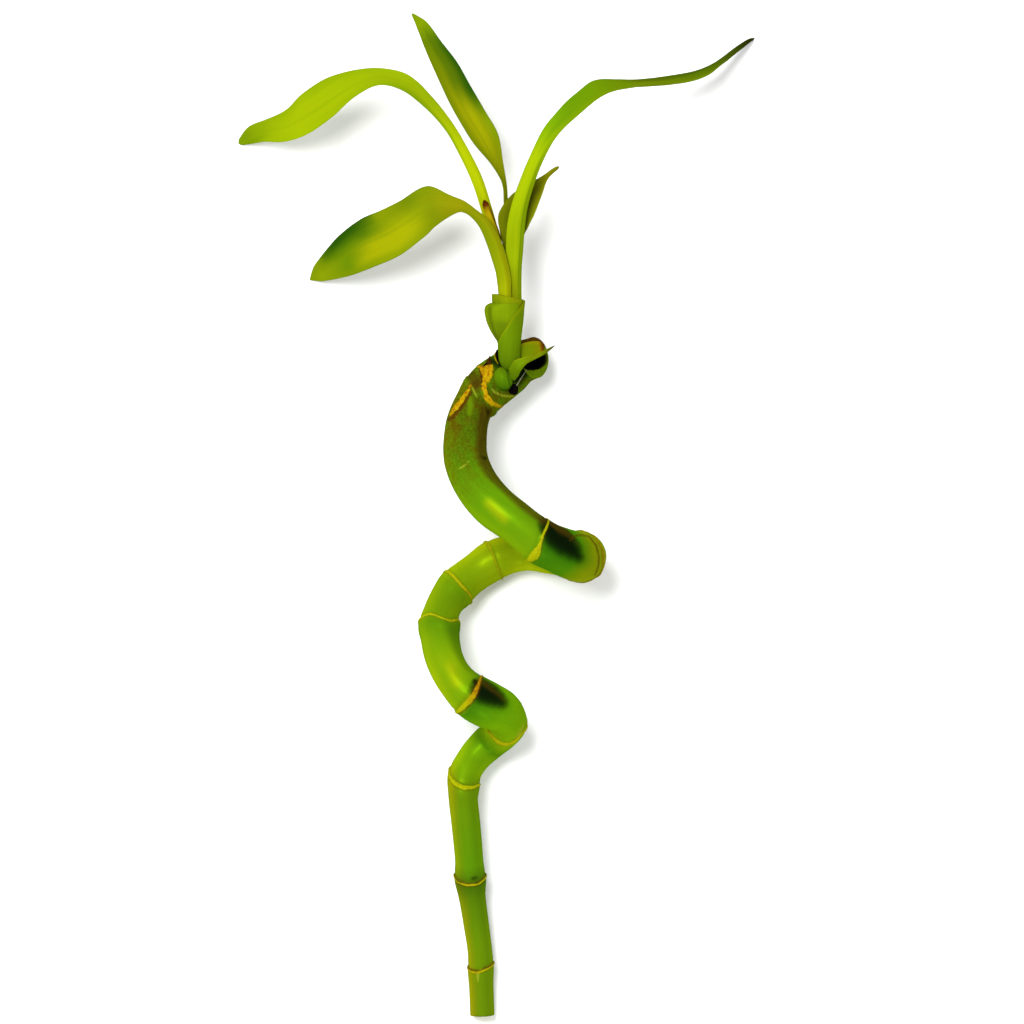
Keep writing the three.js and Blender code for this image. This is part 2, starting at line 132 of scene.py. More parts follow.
# Leaf scars: place between course points, swelling, how brown the skin is just above and below,
# how far the scar itself has browned at the first and last of its points, and those points as the
# photo shows them: x, y and half the scar's width.
SCARS = [
    {"at": 1.58, "swelling": 0.4, "over": 0.9, "under": 0.2, "aged": (0.5, 0.3),
     "line": [(-10.9, -181.7, 0.3), (-9.2, -183.5, 0.3), (-6.7, -183.8, 0.35),
              (-4.4, -182.8, 0.3), (-0.8, -180, 0.3)]},
    {"at": 4.32, "swelling": 0.9, "over": 0.7, "under": 0.6, "aged": (0.5, 0.1),
     "line": [(-15.9, -144.6, 0.25), (-14.5, -147.2, 0.3), (-10.9, -148.5, 0.35),
              (-7.3, -148, 0.3), (-4.4, -144.6, 0.25)]},
    {"at": 7.75, "swelling": 0.7, "over": 0.25, "under": 0.3, "aged": (0, 0),
     "line": [(-18.7, -101.1, 0.5), (-18.2, -104.5, 0.6), (-16.1, -107.8, 0.7),
              (-12.8, -109.5, 0.6), (-9, -109.4, 0.5), (-6.9, -108.1, 0.5)]},
    {"at": 11.6, "swelling": 0.4, "over": 0.4, "under": 0.4, "aged": (0.1, 0),
     "line": [(-2.3, -86.8, 0.6), (-1, -88.9, 1.2), (1.9, -91.5, 1.9), (5.3, -91.9, 1.8),
              (7.8, -90.2, 1.3), (9.9, -87.7, 0.7)]},
    {"at": 14.9, "swelling": 0.5, "over": 0.3, "under": 0.8, "aged": (1.7, -0.4),
     "line": [(-6.1, -65, 0.35), (-7.2, -68.8, 0.5), (-9, -72.6, 0.7), (-12, -75.9, 0.6),
              (-14.5, -78.2, 0.35)]},
    {"at": 18.9, "swelling": 1.1, "over": 0.15, "under": 0.3, "aged": (0, 0.2),
     "line": [(-27.9, -40.8, 0.4), (-25, -40.2, 0.45), (-21.6, -41.9, 0.5), (-18.2, -43.2, 0.7),
              (-15.7, -42.3, 0.6)]},
    {"at": 21, "swelling": 0.8, "over": 0.15, "under": 0.4, "aged": (0, 0.3),
     "line": [(-19.5, -23, 0.4), (-16.1, -26, 0.65), (-13.2, -29.3, 0.75), (-11.1, -31.4, 0.5)]},
    {"at": 22.8, "swelling": 0.4, "over": 0.1, "under": 0.3, "aged": (0.2, 0.4),
     "line": [(-1.8, -13.8, 0.2), (-0.6, -17.1, 0.2), (0.7, -21.3, 0.2), (2.1, -24.3, 0.25)]},
    {"at": 27.2, "swelling": 0.3, "over": 0.5, "under": 0.3, "aged": (0.9, 0.9),
     "line": [(36.1, -7.2, 0.15), (40, -10, 0.2), (42.3, -14.4, 0.3), (42.8, -18.7, 0.3),
              (41.9, -23, 0.25), (40, -25.5, 0.2)]},
    {"at": 30.1, "swelling": 0.5, "over": 0.1, "under": 0.3, "aged": (0.1, 0),
     "line": [(20.6, -2, 0.3), (18.6, -8.1, 0.35), (17.5, -12.6, 0.4), (16.2, -15.2, 1.3),
              (12.9, -18.6, 0.5)]},
    {"at": 38.9, "swelling": 0.5, "over": 0, "under": 0, "aged": (0, 0),
     "line": [(-4.3, 53.8, 0), (-3.8, 48, 0), (-1, 43.8, 0)]},
]

# Marks on the upper side of the cane by kind: place between course points, and points along the
# mark: x, y and half its width, which is below 0 where the mark is only a trace.
MARKS = {
    "gold": [
        (39.2, [(-2.9, 58.6, 1.8), (-2.8, 56.4, 1.7), (-4, 53.4, 1.2), (-4.5, 51, 0.8),
                (-3.8, 47.4, 1), (-2.4, 45.3, 1), (0.2, 43.7, 0.6), (2.4, 43.2, 0.3)]),
        (39, [(-7.6, 60, 0.2), (-6, 58.8, 0.5), (-4.8, 56, 0.5)]),
        (37, [(-18, 39.7, 0.4), (-16.6, 41.6, 0.7), (-14.4, 44.6, 0.9), (-12.2, 47.6, 0.6),
              (-9.9, 51.2, 0.15)]),
    ],
    "pale": [
        (37.4, [(-9.3, 50.8, 0.2), (-8.2, 48.4, 0.3), (-7.2, 46.8, 0.1)]),
        (39.6, [(-1.6, 50.2, 0.3), (0.2, 48.6, 0.4), (2.6, 47.6, 0.4), (5.8, 47.2, 0.4),
                (8.2, 48, 0.3)]),
        (34, [(-15, 18.2, 0.2), (-13, 19, 0.3), (-11.2, 20.6, 0.26), (-10.2, 21.8, 0.15)]),
        (12, [(8.2, -89.6, 0.4), (10, -87, 0.5), (11.2, -84, 0.2)]),
        # This pale mark, below the scar nearest the foot, is a painted highlight.
        (1.4, [(-7.2, -184.4, 0.6), (-7, -187.6, 0.1)]),
    ],
    "brown": [
        (37, [(-18.6, 38, 0.6), (-16.6, 39.4, 0.6), (-14.1, 42.4, 0.6), (-12, 45.2, 0.5),
              (-9.6, 49, 0.4)]),
        (38.9, [(-6.4, 58.4, 0.4), (-5.4, 54, 0.5), (-5, 50, 0.4)]),
    ],
    "crease": [
        (27.6, [(37.4, -8.8, 0.2), (40.2, -12.4, 0.3), (41.3, -17, 0.3), (41, -21, 0.25),
                (39.6, -24.6, 0.15)]),
        (28.4, [(29.6, -10.4, 0.15), (31.4, -8.6, 0.25), (34.4, -8.2, 0.25), (37.4, -8.8, 0.2)]),
    ],
    "rim": [
        (41.8, [(9.4, 67.8, 0.7), (12, 69.6, 1), (15, 70.6, 1.1), (17.8, 69.8, 1),
                (19.4, 68, 0.5)]),
    ],
    "stain": [
        (38, [(-9.4, 55.6, 1.6), (-7.4, 52, 1.2)]),
        (35, [(-3.6, 41, 1.6), (-4.9, 36, 2.2), (-5, 30, 2.2), (-4.6, 22.9, 2.2)]),
        (32.2, [(-4.6, 22.9, 2.2), (-1.4, 16.8, 2), (4.2, 10.6, 1.6), (10.8, 4.4, 1.6),
                (18.6, -1.6, 1.6)]),
        (29.3, [(22.6, -2.6, 2), (26.2, -5.6, 1.2), (30, -8.6, 0), (33.4, -12.6, -0.8)]),
        (14, [(-4.4, -67, 0.3), (-1.4, -69.6, -0.1), (1.4, -72, -0.5), (4, -74.6, -1)]),
    ],
    "spot": [
        (34.2, [(-6.2, 23.4, -0.6), (-4.2, 22.4, 0.3)]),
        (15.2, [(-8.2, -66.5, 0.6), (-7.4, -67.4, 0.6)]),
        # This spot, at the coil's waist, is painted shade where the coil passes under the node.
        (37.8, [(-4.2, 43.6, -0.8), (-3, 41, 0.2), (-3.4, 38.8, -0.4)]),
        (4.5, [(-9.2, -145.9, 0.1), (-7.8, -145.5, 0.1)]),
    ],
    "black": [
        (29.3, [(22.4, -4.8, 2.1), (24.8, -8.3, 2.4), (27.8, -11.4, 1.8), (30.6, -14.2, 0.4),
                (33.2, -17, -1.4)]),
        (14, [(-6, -70.4, 0.9), (-4.4, -71, 1.5), (-2.2, -72, 1.2), (0.2, -73.4, 0.2),
              (2.4, -75, -1.2)]),
        # These two are painted shade: beneath the bract, and in the crease over the bud at the
        # shoot's foot.
        (41, [(8.8, 54.4, -1), (10.8, 57.2, -0.8), (12.8, 60, -1)]),
        (40, [(-1, 61.4, -2), (2.2, 60.2, -1.6), (4.6, 57.8, -1.6)]),
    ],
    "fresh": [
        (37, [(-10.6, 46.6, 0.6), (-10, 43.4, 0.8), (-10.4, 40.4, 0.4)]),
    ],
    # Painted highlights: soft pale patches where the lamps' highlights lie on two strands.
    "ripe": [
        (16, [(-15.6, -67.4, 0.4), (-18, -60.6, 0.4)]),
        (32, [(-2.6, 4.4, 0.4), (3.4, -1.6, 0.4)]),
    ],
}

# Skin tones along the cane: place between course points and colour. Those at 23.4 and 24.4 are
# lighter where the front strand shades the back one: painted light.
SKIN_TONES = [
    (0, (0.15, 0.27)), (2.4, (0.15, 0.29)), (3.8, (0.1, 0.22)), (4.3, (0.06, 0.15)),
    (4.8, (0.12, 0.3)), (7.7, (0.15, 0.28)), (8.4, (0.2, 0.4)), (9.4, (0.17, 0.37)),
    (10.2, (0.08, 0.24)), (11.2, (0.2, 0.4)), (12.6, (0.15, 0.36)), (13.6, (0.15, 0.38)),
    (14.8, (0.06, 0.22)), (15, (0.2, 0.38)), (16.4, (0.22, 0.4)), (17.4, (0.17, 0.35)),
    (18.7, (0.12, 0.28)), (19.1, (0.19, 0.34)), (20.6, (0.15, 0.3)), (21.1, (0.23, 0.38)),
    (23.4, (0.3, 0.43)), (24.4, (0.32, 0.48)), (26.4, (0.24, 0.33)), (28.2, (0.2, 0.28)),
    (29, (0.06, 0.22)), (30, (0.05, 0.2)), (30.2, (0.17, 0.35)), (32, (0.13, 0.33)),
    (33.2, (0.11, 0.23)), (34.2, (0.11, 0.17)), (36.4, (0.1, 0.13)), (40, (0.1, 0.18)),
]

# Centre of the sheathed shoot from the cane's skin to its squared collar: x, y, z, width, depth.
SHOOT_COURSE = [
    (6.6, 56.6, 28.6, 1.2, 2), (6.4, 58.6, 29.8, 3.6, 4), (6, 60.4, 30.7, 6, 6.2),
    (5.7, 62.4, 31.5, 7.2, 7.6), (5.5, 65.6, 32.6, 7.6, 8.6), (5.3, 69.4, 33.3, 8.6, 9.4),
    (4.9, 76, 34, 10.8, 10.6), (5, 82, 34.3, 11.6, 11.2), (5.2, 88, 34.4, 12.2, 11.4),
]

# Leaves and leaf-like scales. A course row is x, y, z, full width and roll in degrees, where a
# positive roll lifts the left edge, seen along the leaf. `core` is the stalk's thickness, `stalk`
# the share of the length over which it thins, `fold` how far the edges rise, `crest` where the
# stalk is thickest between its right edge at -1 and its left edge at 1, and `rooted` how far the
# stalk goes on below its first point.
LEAVES = {
    "leaf_lower_left": {
        "core": 3, "stalk": 0.36, "fold": 0.16, "wave": 0.5, "waves": 3,
        "crest": -0.25, "rooted": 6,
        "course": [
            (3.8, 88.6, 38, 5, 0), (3.5, 94, 38.5, 5.5, 0), (1.4, 102.6, 39.4, 6, 0),
            (-0.9, 109.2, 40.4, 5.8, 0), (-4.6, 116.2, 41.4, 4.8, 0), (-8.5, 120, 42, 3.8, 0),
            (-12.8, 122.8, 42.4, 4.6, 5), (-18.4, 122.9, 42.2, 9.4, 10), (-25, 123, 41, 17, 12),
            (-33, 117.8, 38.4, 18, 12), (-41.5, 112.4, 34, 20, 14),
            (-50.4, 108.6, 27.5, 20.4, 14), (-58.8, 104.2, 19.5, 17.2, 12),
            (-65.9, 99.8, 11, 11.6, 10), (-71.2, 96.6, 4.5, 6.6, 5), (-74.6, 94.4, 0.35, 1.2, 0)
        ],
    },
    "leaf_upper_left": {
        "core": 2.6, "stalk": 0.5, "fold": 0.14, "wave": 0.5, "waves": 3,
        "crest": -0.3, "rooted": 6,
        "course": [
            (3.2, 88.6, 32.8, 4.2, 0), (2.3, 97, 33.4, 4.5, 0), (0.7, 106, 34.2, 4.6, 0),
            (-1.1, 113, 34.9, 4.6, 0), (-3.7, 122.5, 36.2, 4.5, 0), (-7.4, 133.8, 38.2, 4.6, 0),
            (-12.6, 144.6, 40.6, 4.3, 0), (-18.6, 154.8, 43, 4.2, 5),
            (-27.2, 164.8, 45.4, 5.5, 12), (-36.4, 172.2, 46.6, 7.4, 25),
            (-46, 174.3, 45.6, 8.2, 38), (-55.8, 171.7, 42, 13, 40),
            (-65.6, 166.2, 36, 18.6, 35), (-75.2, 160.1, 28, 18.8, 33),
            (-83.4, 155.6, 20, 15, 36), (-92.2, 153.8, 11, 9.8, 32), (-98.4, 152.2, 5, 7, 18),
            (-103.2, 149.2, 0.35, 2.4, 0)
        ],
    },
    "leaf_top": {
        "core": 2.2, "stalk": 0.38, "fold": 0.3, "wave": 0.3, "waves": 3, "crest": 0, "rooted": 4,
        "course": [
            (4.8, 88.6, 29.9, 3, 0), (4.8, 100, 30.4, 3, 10), (4.6, 113, 31.6, 2.8, 40),
            (4, 124.6, 33, 2.6, 60), (3.4, 131.8, 34, 3.2, 62), (0.5, 139.1, 34.6, 7, 48),
            (-4.2, 148.9, 34.6, 12.1, 32), (-9.8, 158.2, 33.6, 12.6, 32),
            (-15.3, 168, 31.6, 12.7, 32), (-20.4, 178.4, 28.4, 11.6, 30),
            (-25.6, 188.1, 24, 7.6, 25), (-29.7, 196.2, 19.5, 4.6, 15),
            (-33.5, 200.9, 16.5, 1.2, 0)
        ],
    },
    "leaf_right": {
        "core": 3, "stalk": 0.45, "fold": 0.16, "wave": 0.5, "waves": 3, "crest": -0.4, "rooted": 6,
        "course": [
            (7.5, 88.6, 36.4, 5.8, 0), (7.3, 98, 37.2, 6.4, 0), (7.6, 106, 37.6, 7, 0),
            (8.2, 115, 39, 7.2, 0), (9.6, 123, 40.4, 6.6, 0), (12.8, 133, 42.2, 6, -5),
            (16.8, 142.7, 44, 5.9, -12), (21.8, 152, 45.2, 6.6, -22),
            (27.5, 158.4, 45.6, 7.8, -35), (35, 164.8, 45.6, 11.8, -52),
            (42, 169.6, 44, 14, -56), (51.8, 171.1, 40, 15.5, -71),
            (61.8, 171.9, 34.5, 15.5, -79), (71.8, 173, 28, 14, -76), (82, 175.9, 20.5, 12, -71),
            (89.8, 180.7, 14, 9, -70), (97.4, 186.8, 7, 5.5, -60), (102, 190.4, 2.2, 2.4, -45),
            (104, 191.5, 0.35, 0.9, 0)
        ],
    },
    "leaf_small": {
        "core": 2.2, "stalk": 0.3, "fold": 0.2, "wave": 0.2, "waves": 2, "crest": 0, "rooted": 4,
        "course": [
            (7.6, 88.6, 31.5, 3.4, 0), (6.9, 98, 32.2, 3.8, 0), (6.1, 107, 33.6, 6, 0),
            (6.6, 112.6, 34.4, 9.8, 0), (7.4, 118, 35, 13, 0), (11.3, 124.4, 36, 11.8, 0),
            (16.4, 130.4, 36.6, 6.6, 0), (20, 134.7, 37, 2.6, 0), (22.8, 137.2, 37.2, 1.8, 0),
            (25.4, 139, 37.2, 1.5, 0)
        ],
    },
    "dry_tip": {
        "core": 0.9, "stalk": 0.3, "fold": 0.2, "wave": 0, "waves": 1, "crest": 0, "rooted": 0,
        "course": [
            (2.4, 104, 36, 1.6, 0), (1.1, 111, 37, 2, 0), (-1.4, 117, 38.2, 2.8, 0),
            (-3, 121, 38.9, 3, 0), (-4, 124, 39.1, 2.6, 0), (-4.6, 125.6, 39.1, 1.6, 0)
        ],
    },
    "bract": {
        "core": 1.6, "stalk": 0.5, "fold": 0.35, "wave": 0, "waves": 1, "crest": 0.3, "rooted": 0,
        "course": [
            (6.9, 54.4, 31, 2.6, -20), (7.9, 57.4, 33.8, 5, -20), (9.4, 59.6, 35.8, 5, -20),
            (12, 61.4, 36.4, 3, -15), (15.6, 62.8, 36, 1.8, -10), (19.6, 64.9, 35, 1.5, 0),
            (23.7, 67.5, 33.2, 0.5, 0)
        ],
    },
}

# Length over which a leaf's cross-section takes the mean direction of its course, the length of
# its rounded tip, and the rings in that.
TURN_REACH = 8.0
TIP_LENGTH = 2.0
TIP_RINGS = 10

# A leaf's cross-section: thickness of its blade and edge, how square its stalk is, and the groove
# along its upper side and the keel along its lower one, with their widths. The last two and the
# waves are whole only where the leaf is wide enough. A stalk begins to thin at STALK_EASE of its
# length.
BLADE = {"thickness": 0.55, "edge": 0.14, "squareness": 1.7, "wide": 4}
MIDRIB = {"groove": 0.1, "groove width": 1.2, "keel": 0.45, "keel width": 0.9}
STALK_EASE = 0.4

# How far the ribs' pattern is moved on for a leaf's lower face and a sheath's inner one.
OTHER_FACE = 40.0

# Rings and sides of each leaf's mesh, apart from the large leaves', and slots other than leaf.
LARGE_LEAF_MESH = (240, 64)
LEAF_MESHES = {"dry_tip": (60, 24), "bract": (90, 40), "leaf_small": (140, 48)}
SCRAP_MESH = (60, 28)
LEAF_SLOTS = {"dry_tip": "dry_scale", "bract": "sheath"}

# Sheaths round the shoot, in millimetres along Y. The outer sheath's free edge turns from the
# back at its foot to the right side at the collar; the folded one stands off at the left.
COLLAR_TOP = {"middle": 87.2, "slant": 1.1, "left corner": 0.6}
SHEATH_FEET = {"inner": 66, "outer": 56.8, "fold": 70}
SHEATH_WALL = 0.5
OUTER_BELOW_COLLAR = 0.3
OUTER_OVERLAP = 0.4
OUTER_EDGE = ([0, 0.12, 0.32, 0.45, 0.6, 0.77, 0.96, 1],
              [3.3, 3.2, 2.9, 2.3, 1.66, 1.2, 0.42, 0.34])
FOLD_TOP = 84.4
FOLD_WALL = 0.45
FOLD_EDGES = (math.radians(40), math.radians(250))
FOLD_SWELL = ([0, 0.1, 0.3, 0.5, 0.7, 0.8, 0.88, 0.93, 0.97, 1],
              [0, 0.6, 1.6, 2.5, 3.1, 3.2, 2.9, 2.4, 1.6, 0.4])

# Tones of the leaves and sheaths.
OLIVE = (0.2, 0.235)
DEEP_GREEN = (0.03, 0.12)
DARK_TIP = (0.03, 0.035)
RUST = (0.16, 0.035)

# Each leaf's tones from its base to its tip, and soft patches on it: tone, from and to along
# the leaf, from and to across it, and strength. A line has its place across and half its width.
LOOKS = {
    "leaf_lower_left": {
        "tones": [(0, (0.46, 0.52)), (0.06, (0.38, 0.46)), (0.2, (0.3, 0.37)),
                  (0.33, (0.3, 0.32)), (0.42, (0.26, 0.33)), (0.52, (0.34, 0.42)),
                  (0.62, (0.36, 0.44)), (0.8, (0.2, 0.34)), (0.94, (0.34, 0.44)),
                  (1, (0.28, 0.38))],
        "patches": [((0.38, 0.32), 0.34, 0.39, -0.8, 0.6, 0.6),
                    ((0.17, 0.26), 0.43, 0.54, -1.3, -0.5, 0.8),
                    ((0.52, 0.54), 0.5, 0.72, -0.2, 0.7, 0.9),
                    ((0.3, 0.4), 0.5, 1.0, 0.8, 1.3, 0.7),
                    ((0.13, 0.26), 0.62, 0.92, -1.3, -0.2, 0.9),
                    (DEEP_GREEN, 0.68, 0.88, -1.3, -0.55, 1.0),
                    ((0.42, 0.36), 0.0, 0.26, -0.9, -0.3, 0.5),
                    ((0.2, 0.3), 0.0, 0.3, 0.7, 1.3, 0.5)],
        "lines": [((0.26, 0.36), 0.42, 0.95, -0.04, 0.12, 0.3)],
    },
    "leaf_upper_left": {
        "tones": [(0, (0.38, 0.42)), (0.1, (0.58, 0.66)), (0.32, (0.6, 0.72)),
                  (0.45, (0.38, 0.52)), (0.6, (0.4, 0.55)), (0.8, (0.48, 0.64)),
                  (0.9, (0.4, 0.55)), (0.97, (0.26, 0.4))],
        "patches": [((0.18, 0.34), 0.3, 0.55, 0.6, 1.3, 0.6),
                    ((0.5, 0.64), 0.62, 0.85, -0.4, 0.5, 0.6),
                    ((0.3, 0.46), 0.6, 0.9, -1.3, -0.8, 0.6)],
        "lines": [((0.32, 0.5), 0.55, 0.95, 0.05, 0.14, 0.25)],
    },
    "leaf_top": {
        "tones": [(0, OLIVE), (0.3, (0.25, 0.29)), (0.42, (0.36, 0.4)), (0.6, (0.42, 0.46)),
                  (0.75, (0.3, 0.38)), (0.88, (0.2, 0.32)), (0.95, (0.32, 0.46)),
                  (1, (0.24, 0.36))],
        "patches": [((0.2, 0.31), 0.42, 0.7, 0.7, 1.3, 0.7),
                    ((0.5, 0.52), 0.44, 0.66, -0.3, 0.4, 0.9),
                    ((0.22, 0.34), 0.45, 0.7, -1.3, -0.6, 0.8),
                    ((0.1, 0.2), 0.66, 0.92, -1.3, 0.1, 0.8),
                    (DEEP_GREEN, 0.6, 0.88, -1.3, -0.6, 1.0)],
        "lines": [((0.2, 0.32), 0.42, 0.9, 0.1, 0.1, 0.3)],
    },
    "leaf_right": {
        "tones": [(0, (0.28, 0.34)), (0.08, (0.38, 0.5)), (0.2, (0.42, 0.56)),
                  (0.32, (0.46, 0.62)), (0.44, (0.26, 0.46)), (0.56, (0.22, 0.38)),
                  (0.68, (0.24, 0.33)), (0.8, (0.17, 0.27)), (0.9, (0.08, 0.12)),
                  (0.98, DARK_TIP)],
        # The first patch and the line darken the right side of the stalk: painted shade.
        "patches": [((0.24, 0.38), 0.0, 0.42, -1.3, -0.5, 0.8),
                    ((0.56, 0.7), 0.18, 0.38, 0.1, 0.7, 0.5),
                    ((0.16, 0.38), 0.36, 0.52, -0.4, 1.3, 0.6),
                    ((0.3, 0.42), 0.5, 0.86, -1.3, -0.6, 0.6),
                    ((0.07, 0.12), 0.62, 0.97, 0.4, 1.3, 0.6)],
        # Painted shade along the stalk's right side.
        "lines": [((0.12, 0.22), 0.0, 0.34, -0.62, 0.1, 0.5)],
    },
    "leaf_small": {
        "tones": [(0, (0.22, 0.3)), (0.45, (0.2, 0.25)), (0.8, (0.22, 0.23)),
                  (0.98, (0.24, 0.24))],
        "patches": [((0.09, 0.1), 0.42, 0.85, -0.6, 0.3, 0.7),
                    ((0.3, 0.33), 0.3, 0.9, 0.75, 1.3, 0.8)],
        "lines": [((0.36, 0.4), 0.3, 0.95, -0.95, 0.1, 0.6)],
    },
    "dry_tip": {
        "tones": [(0, (0.36, 0.32)), (0.4, (0.5, 0.42)), (0.75, (0.62, 0.48)),
                  (0.84, (0.4, 0.26)), (0.9, RUST), (1, (0.06, 0.008))],
        "patches": [((0.1, 0.03), 0.1, 0.85, -1.3, -0.55, 0.95)],
    },
    "bract": {
        "tones": [(0, (0.17, 0.3)), (0.3, (0.2, 0.34)), (0.5, (0.2, 0.28)), (0.7, (0.24, 0.3)),
                  (0.9, (0.14, 0.16)), (1, (0.06, 0.06))],
        "patches": [((0.12, 0.2), 0.2, 0.85, -1.3, -0.7, 0.6)],
        "lines": [((0.4, 0.42), 0.15, 0.9, 0.95, 0.2, 0.6)],
    },
    "sheath": {
        "tones": [(0, (0.11, 0.24)), (0.2, (0.17, 0.3)), (0.5, (0.2, 0.35)), (0.8, (0.2, 0.32)),
                  (1, (0.32, 0.38))],
        "patches": [],
        "lines": [((0.36, 0.45), 0.3, 1.0, 0.99, 0.07, 0.45),
                  # This dark line, low on the right side, is painted shade in the gap by the bract.
                  ((0.04, 0.1), 0.0, 0.3, 0.06, 0.16, 0.8)],
    },
    "fold": {
        "tones": [(0, (0.14, 0.2)), (0.3, (0.2, 0.31)), (0.7, (0.25, 0.38)), (1, (0.24, 0.36))],
        "patches": [((0.38, 0.42), 0.15, 1.0, 0.3, 1.3, 0.8),
                    ((0.14, 0.22), 0.0, 0.5, -0.8, -0.2, 0.6)],
        "lines": [((0.1, 0.17), 0.1, 0.9, -0.02, 0.1, 0.6)],
    },
    "bud": {
        # Dark at its foot, where it meets the cane, and light along its top: painted shade and a
        # painted highlight.
        "tones": [(0, (0.06, 0.15)), (0.35, (0.12, 0.28)), (0.8, (0.16, 0.31)), (1, (0.26, 0.36))],
        "patches": [((0.26, 0.32), 0.1, 0.9, -1.3, -0.85, 0.8)],
        "lines": [((0.04, 0.12), 0.12, 0.9, 0.5, 0.12, 0.6),
                  ((0.2, 0.36), 0.15, 0.85, 0.3, 0.1, 0.4)],
    },
    "stump_scale": {
        "tones": [(0, (0.26, 0.38)), (0.5, (0.28, 0.38)), (0.8, (0.36, 0.34)), (0.9, (0.3, 0.1)),
                  (1, (0.13, 0.03))],
        "patches": [((0.45, 0.4), 0.0, 0.85, 0.7, 1.3, 0.8)],
    },
}

BUD = {"middle": (3, 54.2, 29.8), "half": (3.8, 4.8, 3.6), "turn": 0.25}
KNOB = {"middle": (7.2, 50.1, 27.8), "half": (1.9, 2.4, 1.8), "turn": 0}

# Small pieces that only the looks need, each a narrow course like a leaf's.
SCRAPS = {
    "stump_scale": {
        "core": 1.0, "stalk": 0.4, "fold": 0.12, "wave": 0, "waves": 1,
        "course": [
            (9, 65, 30, 4, 0), (11, 65.4, 29.6, 6, 0), (14, 66, 27.6, 6.4, 0),
            (17, 66.6, 24.8, 5.6, 0), (19.2, 67, 22.6, 3.8, 0)
        ],
    },
    "dry_flake": {
        "core": 0.5, "stalk": 0.4, "fold": 0.3, "wave": 0.3, "waves": 2,
        "course": [
            (-3.4, 57.4, 25, 3, 0), (-3, 59.4, 27, 4, 0), (-2.6, 61, 28, 2.2, 0),
            (-2.3, 63.6, 28.6, 0.4, 0)
        ],
    },
    # A black sliver of painted shade in the gap between the shoot's foot and the cane.
    "shade_sliver": {
        "core": 0.5, "stalk": 0.4, "fold": 0.2, "wave": 0.2, "waves": 2,
        "course": [
            (5.4, 57.6, 30.2, 0.8, 0), (3.5, 59.3, 30.6, 1.4, 0), (2, 61.2, 31, 2, 0),
            (1, 63.6, 31.4, 2.2, 0), (0.7, 66, 31.6, 1.2, 0)
        ],
    },
    "pale_shred": {
        "core": 0.3, "stalk": 0.4, "fold": 0.2, "wave": 0.1, "waves": 2,
        "course": [
            (1, 60.4, 28.6, 0.5, 0), (0.2, 61.8, 29.4, 0.6, 0), (-0.3, 63.6, 30, 0.5, 0),
            (-0.2, 65, 30.2, 0.3, 0)
        ],
    },
    "loose_fibre": {
        "core": 0.35, "stalk": 3.0, "fold": 0, "wave": 0, "waves": 1,
        "course": [
            (8.5, 51.6, 29.2, 0.5, 0), (9.8, 53.8, 30.6, 0.5, 0), (11.2, 56, 31, 0.45, 0),
            (12.5, 57.9, 31.4, 0.35, 0)
        ],
    },
}


class Value:
    """A shader node's output. Arithmetic on it adds Math nodes."""

    def __init__(self, finish, socket):
        self.finish = finish
        self.socket = socket

    def __add__(self, other):
        return self.finish.math("ADD", self, other)

    def __sub__(self, other):
        return self.finish.math("SUBTRACT", self, other)

    def __rsub__(self, other):
        return self.finish.math("SUBTRACT", other, self)

    def __mul__(self, other):
        return self.finish.math("MULTIPLY", self, other)

    def __abs__(self):
        return self.finish.math("ABSOLUTE", self)

    __radd__ = __add__
    __rmul__ = __mul__


